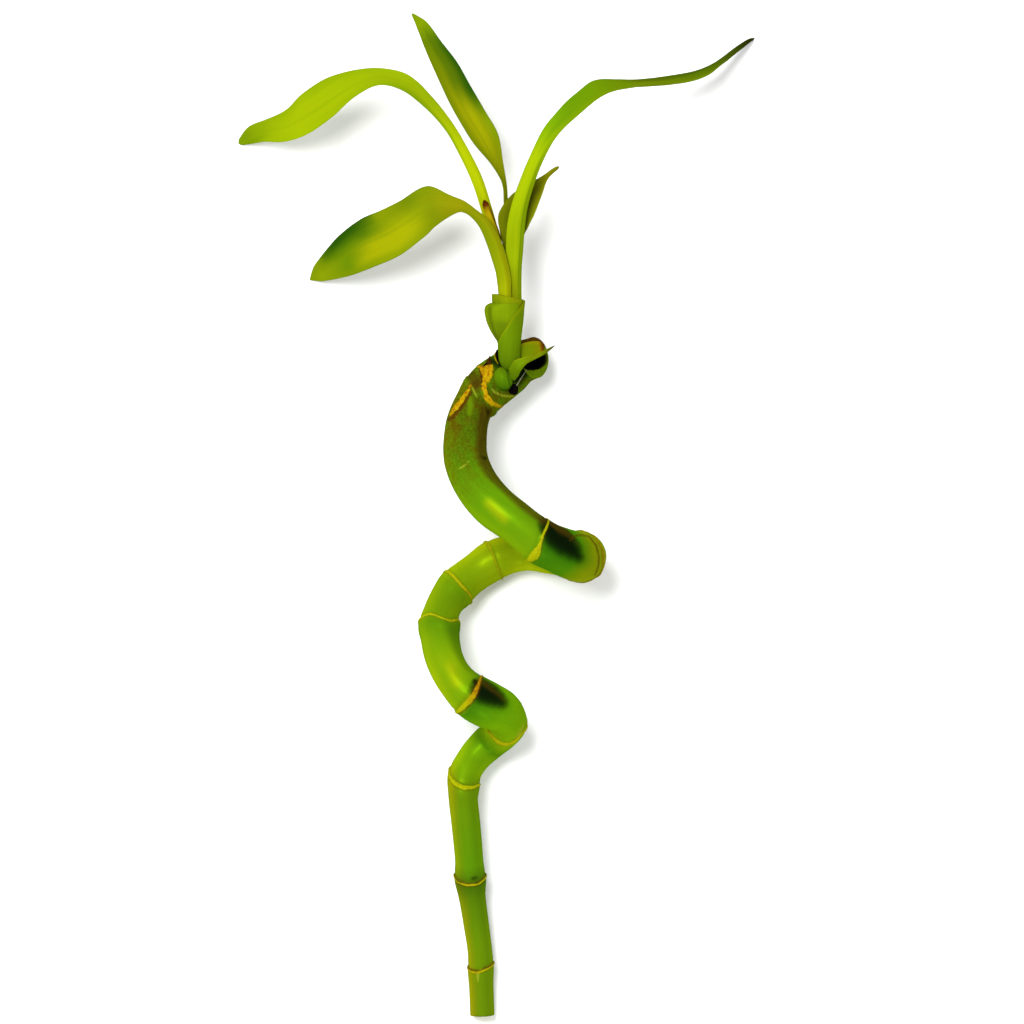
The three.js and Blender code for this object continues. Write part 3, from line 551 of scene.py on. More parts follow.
class Finish:
    """One material and the nodes that make it."""

    def __init__(self, name):
        self.material = bpy.data.materials.new(name)
        self.material.use_nodes = True
        self.tree = self.material.node_tree
        self.tree.nodes.clear()

    def node(self, kind, settings=None, inputs=None, output=0):
        """Adds a node with its settings, then the value or link of each input."""
        made = self.tree.nodes.new(kind)
        for name, setting in (settings or {}).items():
            if name == "stops":
                self.set_stops(made.color_ramp, setting)
            else:
                setattr(made, name, setting)
        for key, value in (inputs or {}).items():
            socket = made.inputs[key] if isinstance(key, int) else self.socket(made, key)
            if isinstance(value, Value):
                self.tree.links.new(value.socket, socket)
            else:
                socket.default_value = value
        return Value(self, made.outputs[output])

    @staticmethod
    def socket(node, key):
        return next(s for s in node.inputs if key in (s.identifier, s.name))

    @staticmethod
    def set_stops(ramp, stops):
        while len(ramp.elements) < len(stops):
            ramp.elements.new(0.5)
        for element, (place, colour) in zip(ramp.elements, stops):
            element.position = place
            element.color = colour

    def math(self, operation, *values):
        return self.node("ShaderNodeMath", {"operation": operation}, dict(enumerate(values)))

    def smooth(self, value, low, high):
        """0 where the value is at low, 1 where it is at high, with a soft step between."""
        return self.node("ShaderNodeMapRange", {"interpolation_type": "SMOOTHSTEP"},
                         {"Value": value, "From Min": low, "From Max": high})

    def mix(self, mask, under, over, blend="MIX"):
        return self.node("ShaderNodeMix", {"data_type": "RGBA", "blend_type": blend},
                         {"Factor_Float": mask, "A_Color": under, "B_Color": over}, 2)

    def tint(self, mask, colour, by):
        """Multiplies the colour by a tint where the mask is 1."""
        return self.mix(mask, colour, (*by, 1.0), "MULTIPLY")

    def ramp(self, value, stops):
        ordered = [(place, tone(*colour)) for place, colour in stops]
        return self.node("ShaderNodeValToRGB", {"stops": ordered}, {"Fac": value})

    def attribute(self, name, output="Fac"):
        return self.node("ShaderNodeAttribute", {"attribute_name": name}, output=output)

    def stretched(self, vector, scale):
        return self.node("ShaderNodeVectorMath", {"operation": "MULTIPLY"}, {0: vector, 1: scale})

    def noise(self, vector, scale, detail, roughness=0.5):
        """Noise between 0 and 1, about 0.5 on average, with its own scale on each axis."""
        return self.node("ShaderNodeTexNoise", {},
                         {"Vector": self.stretched(vector, scale), "Scale": 1.0,
                          "Detail": detail, "Roughness": roughness})

    def bump(self, height, distance, strength):
        """Fine relief, its distance in millimetres."""
        return self.node("ShaderNodeBump", {}, {"Height": height, "Distance": distance * MM,
                                                "Strength": strength})

    def span(self, value, start, end, soft):
        """1 between start and end, with a soft step across each."""
        return (self.smooth(value, start - soft, start + soft)
                * self.smooth(value, end + soft, end - soft))

    def mark(self, kind, uneven, outer, inner):
        """1 inside a mark of the cane, 0 outside it, with an uneven edge between."""
        return self.smooth(self.attribute(kind) + uneven, outer, inner)

    def surface(self, colour, roughness, normal, shine):
        """Ends the material in a shader whose highlights take the plant's own tint."""
        self.end(self.node("ShaderNodeBsdfPrincipled", {}, {
            "Base Color": colour, "Roughness": roughness, "Normal": normal, "Metallic": shine,
            "Specular IOR Level": 0.0, "Specular Tint": (0.5, 0.7, 0.2, 1.0),
        }))
        return self.material

    def end(self, shader):
        output = self.tree.nodes.new("ShaderNodeOutputMaterial")
        self.tree.links.new(shader.socket, output.inputs["Surface"])


def tone(red, green, blue=0.003):
    """A material's own colour for a tone as it looks under the lamps."""
    return (red * LIT_SHARE, green * LIT_SHARE, blue * LIT_SHARE, 1.0)


def bump(distance, width):
    """A smooth hump, 1 where the distance is 0."""
    return np.exp(-((distance / width) ** 2))


def soft_step(value, low, high):
    share = np.clip((value - low) / (high - low), 0, 1)
    return share * share * (3 - 2 * share)


def hermite(start, end, slope_in, slope_out, share):
    """A smooth way from start to end with the given slopes there."""
    square = 3 * (end - start) - 2 * slope_in - slope_out
    cube = 2 * (start - end) + slope_in + slope_out
    return start + (slope_in + (square + cube * share) * share) * share


class Course:
    """A smooth curve through given points, read by arc length, with its columns."""

    SAMPLES = 4000

    def __init__(self, rows):
        rows = np.array(rows, float)
        self.place = np.linspace(0, len(rows) - 1, self.SAMPLES + 1)
        self.centre = self.through_points(rows[:, :3])
        self.columns = [self.through_values(rows[:, k]) for k in range(3, rows.shape[1])]
        steps = np.linalg.norm(np.diff(self.centre, axis=0), axis=1)
        self.arc = np.concatenate([[0], np.cumsum(steps)])
        self.length = self.arc[-1]
        along = np.gradient(self.centre, self.arc, axis=0)
        self.along = along / np.linalg.norm(along, axis=1)[:, None]
        self.side = self.carried_side()

    def through_points(self, points):
        """A centripetal curve through the points."""
        padded = np.vstack([2 * points[0] - points[1], points, 2 * points[-1] - points[-2]])
        first = np.minimum(self.place.astype(int), len(points) - 2)
        p0, p1, p2, p3 = (padded[first + k] for k in range(4))
        gap0, gap1, gap2 = (np.sqrt(np.linalg.norm(b - a, axis=1))[:, None]
                            for a, b in ((p0, p1), (p1, p2), (p2, p3)))
        slope_in = (p1 - p0) / gap0 - (p2 - p0) / (gap0 + gap1) + (p2 - p1) / gap1
        slope_out = (p2 - p1) / gap1 - (p3 - p1) / (gap1 + gap2) + (p3 - p2) / gap2
        return hermite(p1, p2, slope_in * gap1, slope_out * gap1, (self.place - first)[:, None])

    def through_values(self, values):
        """A smooth reading of one column."""
        first = np.minimum(self.place.astype(int), len(values) - 2)
        p0, p1, p2, p3 = (values[np.clip(first + k, 0, len(values) - 1)] for k in (-1, 0, 1, 2))
        return hermite(p1, p2, (p2 - p0) / 2, (p3 - p1) / 2, self.place - first)

    def carried_side(self):
        """A sideways direction that starts as +X and turns only as the curve makes it."""
        sides = np.empty_like(self.along)
        side = np.array([1.0, 0, 0])
        for i, along in enumerate(self.along):
            side = side - along * (side @ along)
            side /= np.linalg.norm(side)
            sides[i] = side
        return sides

    def read(self, samples, arc):
        if samples.ndim == 1:
            return np.interp(arc, self.arc, samples)
        return np.stack([np.interp(arc, self.arc, samples[:, k]) for k in range(3)], axis=-1)

    def column(self, index, arc):
        return self.read(self.columns[index], arc)

    def arc_at(self, place):
        return np.interp(place, self.place, self.arc)

    def frames(self, arc):
        """Centre, direction, sideways and upwards at arc lengths; past an end it runs straight."""
        along = self.read(self.along, arc)
        beyond = arc - np.clip(arc, 0, self.length)
        centre = self.read(self.centre, arc) + along * beyond[..., None]
        side = self.read(self.side, arc)
        side = side - along * np.sum(side * along, axis=-1)[..., None]
        side /= np.linalg.norm(side, axis=-1)[..., None]
        return centre, along, side, np.cross(side, along)


def grained(points, scale, seed=0.0):
    """Smooth noise between about -1 and 1 at each point."""
    scaled = points * np.array(scale) + seed
    return np.array([noise.noise(Vector(p)) for p in scaled])


def wrapped_skin(name, rows, sides, place):
    """A closed skin of rings. `place` gives each corner's point and marks from its ring's number
    and its turn round the ring, from 0 to 1."""
    bm = bmesh.new()
    bmesh.ops.create_grid(bm, x_segments=sides, y_segments=rows - 1, size=0.5)
    flat = np.array([corner.co[:2] for corner in bm.verts]) + 0.5
    ring = np.rint(flat[:, 1] * (rows - 1)).astype(int)
    points, marks = place(ring, flat[:, 0])
    points[:, 2] = np.maximum(points[:, 2], LOWEST)
    for corner, point in zip(bm.verts, points * MM):
        corner.co = point
    for mark, values in marks.items():
        layers = bm.verts.layers.float_vector if values.ndim == 2 else bm.verts.layers.float
        layer = layers.new(mark)
        for corner, value in zip(bm.verts, values):
            corner[layer] = value
    near = 0.01 / sides
    seam = [corner for corner, turn in zip(bm.verts, flat[:, 0]) if turn < near or turn > 1 - near]
    bmesh.ops.remove_doubles(bm, verts=seam, dist=1e-7)
    bmesh.ops.holes_fill(bm, edges=[edge for edge in bm.edges if edge.is_boundary], sides=0)
    bmesh.ops.recalc_face_normals(bm, faces=bm.faces)
    return finished_piece(name, bm)


def finished_piece(name, bm):
    """Turns the working mesh into a smooth-shaded object of the plant."""
    for face in bm.faces:
        face.smooth = True
    mesh = bpy.data.meshes.new(name)
    bm.to_mesh(mesh)
    bm.free()
    piece = bpy.data.objects.new(name, mesh)
    bpy.context.scene.collection.objects.link(piece)
    return piece


def dress(piece, material, slot, node=None):
    """Gives a piece its material, its body and the solid that it stands for; the slot is not used.
    """
    piece.data.materials.append(material)
    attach(piece, "root")
    if node:
        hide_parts(node)


def line_distance(line, heights, drop, x, y, z):
    """Distance in plan to a line of points with half widths, measured from the line's edge and
    made longer where the skin is more than the drop above or below the line."""
    nearest = np.full(x.shape, FAR)
    ends = [(*point, height) for point, height in zip(line, heights)]
    for (x0, y0, half0, z0), (x1, y1, half1, z1) in zip(ends, ends[1:]):
        reach = np.hypot(x1 - x0, y1 - y0)
        share = np.clip(((x - x0) * (x1 - x0) + (y - y0) * (y1 - y0)) / reach**2, 0, 1)
        away = np.hypot(x - x0 - share * (x1 - x0), y - y0 - share * (y1 - y0))
        away += np.maximum(0, np.abs(z - z0 - share * (z1 - z0)) - drop)
        nearest = np.minimum(nearest, away - half0 - share * (half1 - half0))
    return nearest


class Cane:
    """The coiled cane with its scars, marks and cut ends."""

    TURNS = np.linspace(-math.pi, math.pi, 361)[:-1]
    SMOOTHING = np.hanning(41)

    def __init__(self):
        self.course = Course(CANE_COURSE)
        self.scars = [self.traced(scar) for scar in SCARS]
        self.marks = {kind: [self.found(kind, *mark) for mark in marks]
                      for kind, marks in MARKS.items()}
        self.arcs, self.shares = self.rings()

    def facing(self, arc, angle):
        """Centre and direction of the cane, and the way out of it at an angle round it."""
        centre, along, side, up = self.course.frames(arc)
        facing = np.cos(angle)[..., None] * side + np.sin(angle)[..., None] * up
        return centre, along, facing

    def traced(self, scar):
        """Finds each point of a scar's line on the skin, then reads its offset along the cane,
        half its width and how brown it is smoothly all the way round."""
        arc, line = self.course.arc_at(scar["at"]), scar["line"]
        browning = np.linspace(*scar["aged"], len(line))
        seen = self.shown(arc, SCAR_WINDOW, line)
        found = [(angle, at - arc, half, aged)
                 for (_, _, half), (angle, at, _), aged in zip(line, seen, browning)]
        turns, *columns = (np.array(column) for column in zip(*sorted(found)))
        reach = len(self.SMOOTHING) // 2
        smooth = []
        for values in columns:
            around = np.interp(self.TURNS, turns, values, period=FULL_TURN)
            wrapped = np.concatenate([around[-reach:], around, around[:reach]])
            smooth.append(np.convolve(wrapped, self.SMOOTHING / self.SMOOTHING.sum(), "valid"))
        return {**scar, "arc": arc, **dict(zip(("offsets", "halves", "aged"), smooth))}

    def found(self, kind, at, line):
        """A mark with its arc, the height of the skin at each of its points and its drop."""
        arc = self.course.arc_at(at)
        heights = [height for _, _, height in self.shown(arc, MARK_WINDOW, line)]
        return arc, line, heights, RIM_DROP if kind == "rim" else MARK_DROP

    def shown(self, arc, reach, line):
        """Angle, arc and height of the skin where each point of a line shows from above."""
        arcs, angles = np.meshgrid(arc + np.arange(-reach, reach, 0.25),
                                   np.arange(-math.pi, math.pi, math.pi / 120))
        centre, _, facing = self.facing(arcs, angles)
        skin = centre + facing * self.course.column(0, arcs)[..., None] / 2
        hidden = np.where(facing[..., 2] > 0.05, 0, FAR)
        for x, y, _ in line:
            away = np.hypot(skin[..., 0] - x, skin[..., 1] - y) + hidden
            best = np.unravel_index(np.argmin(away), away.shape)
            yield angles[best], arcs[best], skin[best][2]

    def around(self, values, angle):
        """Reads a scar's offsets, half widths or browning round the cane."""
        return np.interp(angle, self.TURNS, values, period=FULL_TURN)

    def rings(self):
        """Arc and share of the radius of each ring: over the foot, up the skin, over the top."""
        fine = np.linspace(0, self.course.length, 8001)
        density = np.full(fine.shape, 1 / RING_SPACING)
        closer = 1 / SCAR_RING_SPACING - 1 / RING_SPACING
        for scar in self.scars:
            density += closer * bump(fine - scar["arc"], SCAR_RING_REACH)
        torn = self.course.arc_at(TORN_SKIN["at"])
        density += TORN_SKIN["extra"] * bump(fine - torn, TORN_SKIN["reach"])
        count = np.concatenate([[0], np.cumsum((density[1:] + density[:-1]) / 2 * np.diff(fine))])
        skin = np.interp(np.linspace(0, count[-1], int(count[-1]) + 1), count, fine)
        arcs = [np.zeros(len(FOOT_SHARES)), skin, np.full(len(TOP_SHARES), skin[-1])]
        shares = [FOOT_SHARES, np.ones(len(skin)), TOP_SHARES]
        return np.concatenate(arcs), np.concatenate(shares)

    def place(self, ring, turn):
        """Points of the skin and the marks that its finish reads."""
        plain = self.arcs[ring]
        share = self.shares[ring]
        angle = FULL_TURN * turn
        slide = np.zeros(len(plain))
        for scar in self.scars:
            slide += self.around(scar["offsets"], angle) * bump(plain - scar["arc"], SLIDE_REACH)
        arc = np.clip(plain + slide * share, 0, self.course.length)
        centre, along, facing = self.facing(arc, angle)
        radius = self.course.column(0, arc) / 2
        rough = grained(facing * radius[:, None], (0.5, 0.5, 0.5), 3) * 0.3
        marks = self.scar_marks(plain, angle)
        for scar in self.scars:
            distance = plain - scar["arc"]
            groove = GROOVE["depth"] * bump(distance - GROOVE["above"], GROOVE["width"])
            radius += (RIDGE["height"] + rough) * bump(distance, RIDGE["width"]) - groove
            radius += scar["swelling"] * bump(distance + SWELLING_BELOW, SWELLING_LENGTH)
        drift = np.concatenate([facing[:, :2] * radius[:, None], arc[:, None]], axis=1)
        radius += sum(height * grained(drift, scale) for height, scale in UNEVENNESS)
        lean = np.maximum(0, 1 - (self.course.length - plain) / CUT_TOP_REACH)
        faces = np.array(CUT_TOP_FACES)
        lean = -lean * radius * (facing @ faces) / (along @ faces)
        points = centre + facing * (radius * share)[:, None] + along * (lean * share)[:, None]
        for kind, lines in self.marks.items():
            marks[kind] = np.full(len(arc), FAR)
            for middle, line, heights, drop in lines:
                away = line_distance(line, heights, drop, *points.T)
                near = np.abs(arc - middle) < MARK_WINDOW
                marks[kind] = np.where(near, np.minimum(marks[kind], away), marks[kind])
        raised = soft_step(-marks["gold"], -0.4, 0.4) * (share > SKIN_SHARE)
        points += facing * (raised * (0.25 + 0.5 * rough))[:, None]
        depth, cut = self.cut_ends(plain, share, points)
        points -= along * depth[:, None]
        grain = np.concatenate([drift[:, :2] * share[:, None], drift[:, 2:]], axis=1)
        marks |= {"cut": cut, "depth": depth, "grain": grain, "flank": facing[:, 0],
                  "rise": facing[:, 2], "along": plain / self.course.length}
        return points, marks

    def scar_marks(self, plain, angle):
        """Distance from the nearest scar, the side it is on, and that scar's width and colours."""
        distances = np.array([plain - scar["arc"] for scar in self.scars])
        nearest = np.argmin(np.abs(distances), axis=0)
        columns = np.arange(len(plain))
        marks = {
            "scar": np.minimum(np.abs(distances[nearest, columns]), FAR),
            "above": np.clip(distances[nearest, columns] * 3, -1, 1),
        }
        for mark, key in (("band", "halves"), ("aged", "aged")):
            around = np.array([self.around(scar[key], angle) for scar in self.scars])
            marks[mark] = around[nearest, columns]
        for key in ("over", "under"):
            marks[key] = np.array([float(scar[key]) for scar in self.scars])[nearest]
        return marks

    def cut_ends(self, plain, share, points):
        """Depth of the dishes in the two cut ends, and on which end a corner is: 1 at the foot,
        2 at the top, 0 on the skin."""
        inside = share < SKIN_SHARE
        foot = inside & (plain <= 0)
        top = inside & (plain > 0)
        rough = grained(points, (0.45, 0.45, 0.45), 7)
        dish = np.where(foot, (0.25 + 0.2 * rough) * soft_step(1 - share, 0.0, 0.2), 0)
        middle, half = HOLLOW["middle"], HOLLOW["half"]
        away = np.hypot((points[:, 0] - middle[0]) / half[0], (points[:, 1] - middle[1]) / half[1])
        pit = HOLLOW["depth"] * soft_step(away + 0.12 * rough, 1.1, 0.6) + 0.3 * rough
        rim = soft_step(1 - share, 0.0, 0.08)
        depth = np.where(top, pit * rim, -dish)
        return depth, np.where(inside, np.where(top, 2.0, 1.0), 0.0)


def cane_finish():
    """Waxy green skin with streaks, leaf scars, stains and dry cut ends, with painted light:
    lighter sides and left, a darker right, painted highlights, and painted shade under the bract,
    over the bud, at the coil's waist and deep in the top's hollow.
    """
    f = Finish("cane skin")
    grain = f.attribute("grain", "Vector")
    along = f.attribute("along")
    flank = f.attribute("flank")
    broad = f.noise(grain, (0.1, 0.1, 0.03), 2) - 0.5
    streak = f.noise(grain, (1.3, 1.3, 0.035), 4)
    speck = f.noise(grain, (2.2, 2.2, 1.4), 3)
    freckle = f.noise(grain, (1.0, 1.0, 0.8), 4, 0.65)
    fine = f.noise(grain, (5.0, 5.0, 1.2), 2)
    course = Course(CANE_COURSE)
    stops = [(place_share(course, at), colour) for at, colour in SKIN_TONES]
    skin = f.ramp(along + broad * 0.012, stops)
    # Painted light: the cane's sides, facing away from straight up, are made lighter and yellower.
    skin = f.tint(f.mark("rise", broad * 0.5, 0.95, 0.35), skin, (1.5, 1.3, 1.0))
    old = f.smooth(along, place_share(course, 31.5), place_share(course, 35))
    foot = f.smooth(along, place_share(course, 8.5), place_share(course, 7.5))
    # Painted light: the left side, which faces the key light, is made yellower, more so near the
    # foot and not on the old skin of the coil.
    skin = f.tint(f.smooth(flank + broad, -0.1, -0.9) * (1.0 - old), skin, (1.12, 1.0, 1.0))
    skin = f.tint(f.smooth(flank + broad * 0.5, -0.1, -0.8) * foot, skin, (1.35, 1.0, 1.0))
    # Darker green round the black marks, which is painted shade round the two under the bract and
    # over the bud.
    skin = f.tint(f.mark("black", broad * 2.5, 7.5, 0.5) * 0.7, skin, (0.4, 0.62, 0.5))
    # Painted shade: the right side, away from the key light, is made darker, and darker again round
    # the low bend.
    skin = f.tint(f.smooth(flank + broad * 0.5, 0.1, 0.8) * 0.6, skin, (0.75, 0.8, 1.0))
    low_bend = between(f, along, course, 14.9, 19)
    skin = f.tint(low_bend * f.smooth(flank + broad * 0.5, 0.1, 0.6), skin, (0.6, 0.7, 1.0))
    # Painted highlight: pale yellow-green where the lamps' highlights lie on two strands.
    skin = f.mix(f.mark("ripe", broad * 1.5, 3.5, -2.0) * 0.75, skin, tone(0.42, 0.47))
    skin = f.tint(f.smooth(streak, 0.42, 0.75) * 0.35, skin, (0.78, 0.84, 0.5))
    skin = f.tint(f.smooth(speck, 0.62, 0.74) * 0.25, skin, (1.25, 1.15, 1.0))
    skin = f.tint(old * f.smooth(freckle, 0.45, 0.62) * 0.7, skin, (0.75, 0.55, 0.4))
    skin = f.tint(old * f.smooth(freckle, 0.48, 0.34) * 0.5, skin, (0.9, 1.5, 1.0))
    mottle = f.noise(grain, (0.3, 0.3, 0.16), 3)
    skin = f.tint(old * f.smooth(mottle, 0.5, 0.64) * 0.7, skin, (1.1, 0.62, 0.6))
    skin = f.tint(old * f.smooth(mottle, 0.5, 0.38) * 0.6, skin, (0.8, 1.2, 1.0))

    gold_tone = f.ramp(f.noise(grain, (0.9, 0.9, 0.9), 3), [
        (0.32, (0.34, 0.12)), (0.42, (0.52, 0.26)), (0.55, (0.6, 0.38)), (0.7, (0.56, 0.42)),
    ])
    line_tone = f.ramp(speck, [(0.3, (0.34, 0.34)), (0.5, (0.44, 0.47)), (0.7, (0.5, 0.54))])
    aged_tone = f.ramp(streak, [(0.35, (0.24, 0.08)), (0.5, (0.4, 0.19)), (0.65, (0.52, 0.32))])
    brown_tone = f.ramp(speck, [(0.35, (0.05, 0.018)), (0.65, (0.17, 0.06))])
    stain_tone = f.ramp(streak, [(0.3, (0.1, 0.06)), (0.7, (0.045, 0.02))])
    wobble = (f.noise(grain, (0.7, 0.7, 0.7), 3) - 0.5) * 0.6
    torn = (f.noise(grain, (0.55, 0.55, 0.5), 5, 0.7) - 0.5) * 3.2
    ragged = (speck - 0.5) * 1.2
    distance = f.attribute("scar")
    above = f.attribute("above")
    band = f.attribute("band")
    line = f.smooth(distance + wobble, band + 0.2, band - 0.1)
    over = f.smooth(distance + ragged, band + 1.5, band + 0.1)
    over = over * f.smooth(above, 0.0, 0.6) * f.attribute("over")
    under = f.smooth(distance + ragged, band + 1.0, band + 0.1)
    under = under * f.smooth(above, 0.0, -0.6) * f.attribute("under")
    gold = f.mark("gold", torn, 0.35, -0.15)
    brown = f.mark("brown", torn * 0.5, 0.6, -0.2)
    stain = f.mark("stain", broad * 1.5 + ragged, 2.0, -0.8)
    # Black marks: two dark patches by scars, and painted shade under the bract and over the bud at
    # the shoot's foot.
    black = 1.0 - f.math("POWER", 0.03, f.mark("black", broad * 2.0 + ragged * 0.8, 5.0, -1.0))
    spot = f.mark("spot", ragged * 0.4, 1.2, -0.5)
    rim = f.mark("rim", ragged * 0.4, 0.7, -0.2)
    crease = f.mark("crease", wobble * 0.8, 0.5, -0.3)
    pale = f.mark("pale", wobble * 0.4, 0.3, -0.1)
    fresh = f.mark("fresh", ragged * 0.5, 1.4, -0.6)
    colour = f.mix(fresh * 0.8, skin, tone(0.16, 0.32))
    colour = f.mix(black, colour, tone(0.003, 0.006, 0.002))
    colour = f.mix(stain * 0.8, colour, stain_tone)
    colour = f.mix(spot * 0.95, colour, tone(0.006, 0.008, 0.002))
    colour = f.mix(f.math("MAXIMUM", over, under) * 0.85, colour, brown_tone)
    colour = f.mix(f.math("MAXIMUM", brown, crease * 0.85) * 0.9, colour, brown_tone)
    colour = f.mix(pale * 0.7, colour, tone(0.36, 0.42, 0.02))
    colour = f.mix(line, colour, f.mix(f.attribute("aged"), line_tone, aged_tone))
    colour = f.mix(gold, colour, gold_tone)

    cut = f.attribute("cut")
    on_cut = f.smooth(cut, 0.3, 0.8)
    dots = f.node("ShaderNodeTexVoronoi", {},
                  {"Vector": f.stretched(grain, (1.6, 1.6, 0)), "Scale": 1.0})
    pith = f.ramp(dots + (speck - 0.5) * 0.4, [
        (0.1, (0.18, 0.14)), (0.25, (0.45, 0.46)), (0.6, (0.55, 0.56)),
    ])
    # The cut top goes from green tissue at its rim to black deep in its hollow: the tissue's own
    # colour, then painted shade in the recess.
    cut_flesh_and_shade = f.ramp(f.attribute("depth") * 0.5 + ragged * 0.3, [
        (0.0, (0.14, 0.24)), (0.2, (0.07, 0.1)), (0.45, (0.012, 0.012)), (0.8, (0.001, 0.001)),
    ])
    colour = f.mix(on_cut, colour, f.mix(f.smooth(cut, 1.2, 1.8), pith, cut_flesh_and_shade))
    colour = f.mix(rim * 0.95, colour, brown_tone)

    height = streak * 0.5 + fine * 0.25 + speck * 0.25 + gold * 0.4
    dull = f.math("MAXIMUM", f.math("MAXIMUM", line, gold), on_cut)
    roughness = 0.32 + streak * 0.1 + dull * 0.4
    return f.surface(colour, roughness, f.bump(height, 0.1, 0.5), 0.13 - dull * 0.11)


def place_share(course, at):
    """A place between course points as a share of the cane's length."""
    return course.arc_at(at) / course.length


def between(f, along, course, start, end):
    """1 between two places on the cane, with short soft ends."""
    low = place_share(course, start)
    high = place_share(course, end)
    return f.smooth(along, low - 0.002, low + 0.002) * f.smooth(along, high + 0.01, high - 0.02)


def leaf_finish(name):
    """Green leaf tissue with lengthwise veins and soft patches of other tones."""
    look = LOOKS[name]
    f = Finish(name + " tissue")
    along = f.attribute("along")
    across = f.attribute("across")
    ribs = f.attribute("ribs", "Vector")
    drift = f.noise(ribs, (0.12, 0.12, 0.05), 2) - 0.5
    vein = f.noise(ribs, (2.4, 2.4, 0.02), 3, 0.6)
    fleck = f.noise(ribs, (1.2, 1.2, 0.6), 4, 0.6)
    colour = f.ramp(along + drift * 0.05, look["tones"])
    for patch_tone, start, end, right, left, strength in look["patches"]:
        lengthwise = f.span(along + drift * 0.12, start, end, 0.07)
        crosswise = f.span(across + drift * 0.5, right, left, 0.35)
        colour = f.mix(lengthwise * crosswise * strength, colour, tone(*patch_tone))
    colour = f.tint(f.smooth(vein, 0.4, 0.7) * 0.45, colour, (0.76, 0.86, 0.6))
    colour = f.tint(f.smooth(fleck, 0.6, 0.8) * 0.2, colour, (1.2, 1.1, 1.0))
    colour = f.tint(f.smooth(abs(across), 0.93, 1.0) * 0.35, colour, (0.55, 0.62, 0.4))
    for line_tone, start, end, at, half, strength in look.get("lines", []):
        lengthwise = f.span(along, start, end, 0.04)
        crosswise = f.smooth(abs(across + drift * 0.1 - at), half, half * 0.2)
        colour = f.mix(lengthwise * crosswise * strength, colour, tone(*line_tone))
    colour = f.tint(1.0, colour, (LEAF_SHARE, LEAF_SHARE, LEAF_SHARE))
    height = vein * 0.8 + fleck * 0.2
    return f.surface(colour, 0.45 + fleck * 0.12, f.bump(height, 0.08, 0.5), 0.12)


def dry_finish(name, dark, light):
    """Dried brown tissue with fibres, which in near-black also stands as painted shade by the
    shoot's foot.
    """
    f = Finish(name)
    place = f.node("ShaderNodeTexCoord", output="Object")
    fibre = f.noise(place, (900, 300, 900), 4, 0.6)
    colour = f.ramp(fibre, [(0.35, dark), (0.65, light)])
    return f.surface(colour, 0.7 + fibre * 0.2, f.bump(fibre, 0.15, 0.7), 0.02)


def leaf_piece(name, leaf, rows, sides):
    """A leaf with its stalk: an upper and a lower face closed round a thin edge."""
    course = Course(leaf["course"])
    blunt = min(TIP_LENGTH, course.length / 8)
    reach = min(TURN_REACH, course.length / 8)
    rounding = np.sin(np.linspace(0, math.pi / 2, TIP_RINGS + 1)[1:])
    stem = np.linspace(-leaf.get("rooted", 0), course.length - blunt, rows - TIP_RINGS)
    arcs = np.concatenate([stem, course.length - blunt * (1 - rounding)])

    def place(ring, turn):
        arc = arcs[ring]
        fraction = np.clip(arc / course.length, 0, 1)
        share = np.cos(FULL_TURN * turn)
        face = np.sin(FULL_TURN * turn)
        centre = course.frames(arc)[0]
        turning = course.read(course.centre, arc + reach) - course.read(course.centre, arc - reach)
        along = turning / np.linalg.norm(turning, axis=1)[:, None]
        level = np.cross([0, 0, 1.0], along)
        level /= np.linalg.norm(level, axis=1)[:, None]
        rise = np.cross(along, level)
        roll = np.radians(course.column(1, arc))[:, None]
        across = level * np.cos(roll) + rise * np.sin(roll)
        normal = rise * np.cos(roll) - level * np.sin(roll)
        ending = np.clip((arc - course.length + blunt) / blunt, 0, 1)
        half = course.column(0, arc) / 2 * np.sqrt(1 - 0.96 * ending**2)
        blade = soft_step(fraction, leaf["stalk"] * STALK_EASE, leaf["stalk"])
        middle = leaf["core"] + (BLADE["thickness"] - leaf["core"]) * blade
        full = np.minimum(1, half / BLADE["wide"])
        ripple = full * blade * leaf["wave"] * np.sin(FULL_TURN * leaf["waves"] * fraction)
        lift = share**2 * (leaf["fold"] * half + ripple * np.sign(share))
        crest = leaf.get("crest", 0) * (1 - blade)
        leaning = (share - crest) / np.where(share > crest, 1 - crest, 1 + crest)
        body = middle / 2 * (1 - np.abs(leaning) ** BLADE["squareness"])
        body += BLADE["edge"] * np.sqrt(np.abs(face))
        groove = blade * MIDRIB["groove"] * bump(share * half, MIDRIB["groove width"]) * full
        keel = blade * MIDRIB["keel"] * bump(share * half, MIDRIB["keel width"]) * full
        offset = np.where(face >= 0, body - groove, -body - keel)
        points = centre + across * (share * half)[:, None] + normal * (lift + offset)[:, None]
        ribs = np.stack([share * half, np.where(face >= 0, 0.0, OTHER_FACE), arc], axis=1)
        return points, {"along": fraction, "across": share, "ribs": ribs}

    return wrapped_skin(name, rows, sides, place)


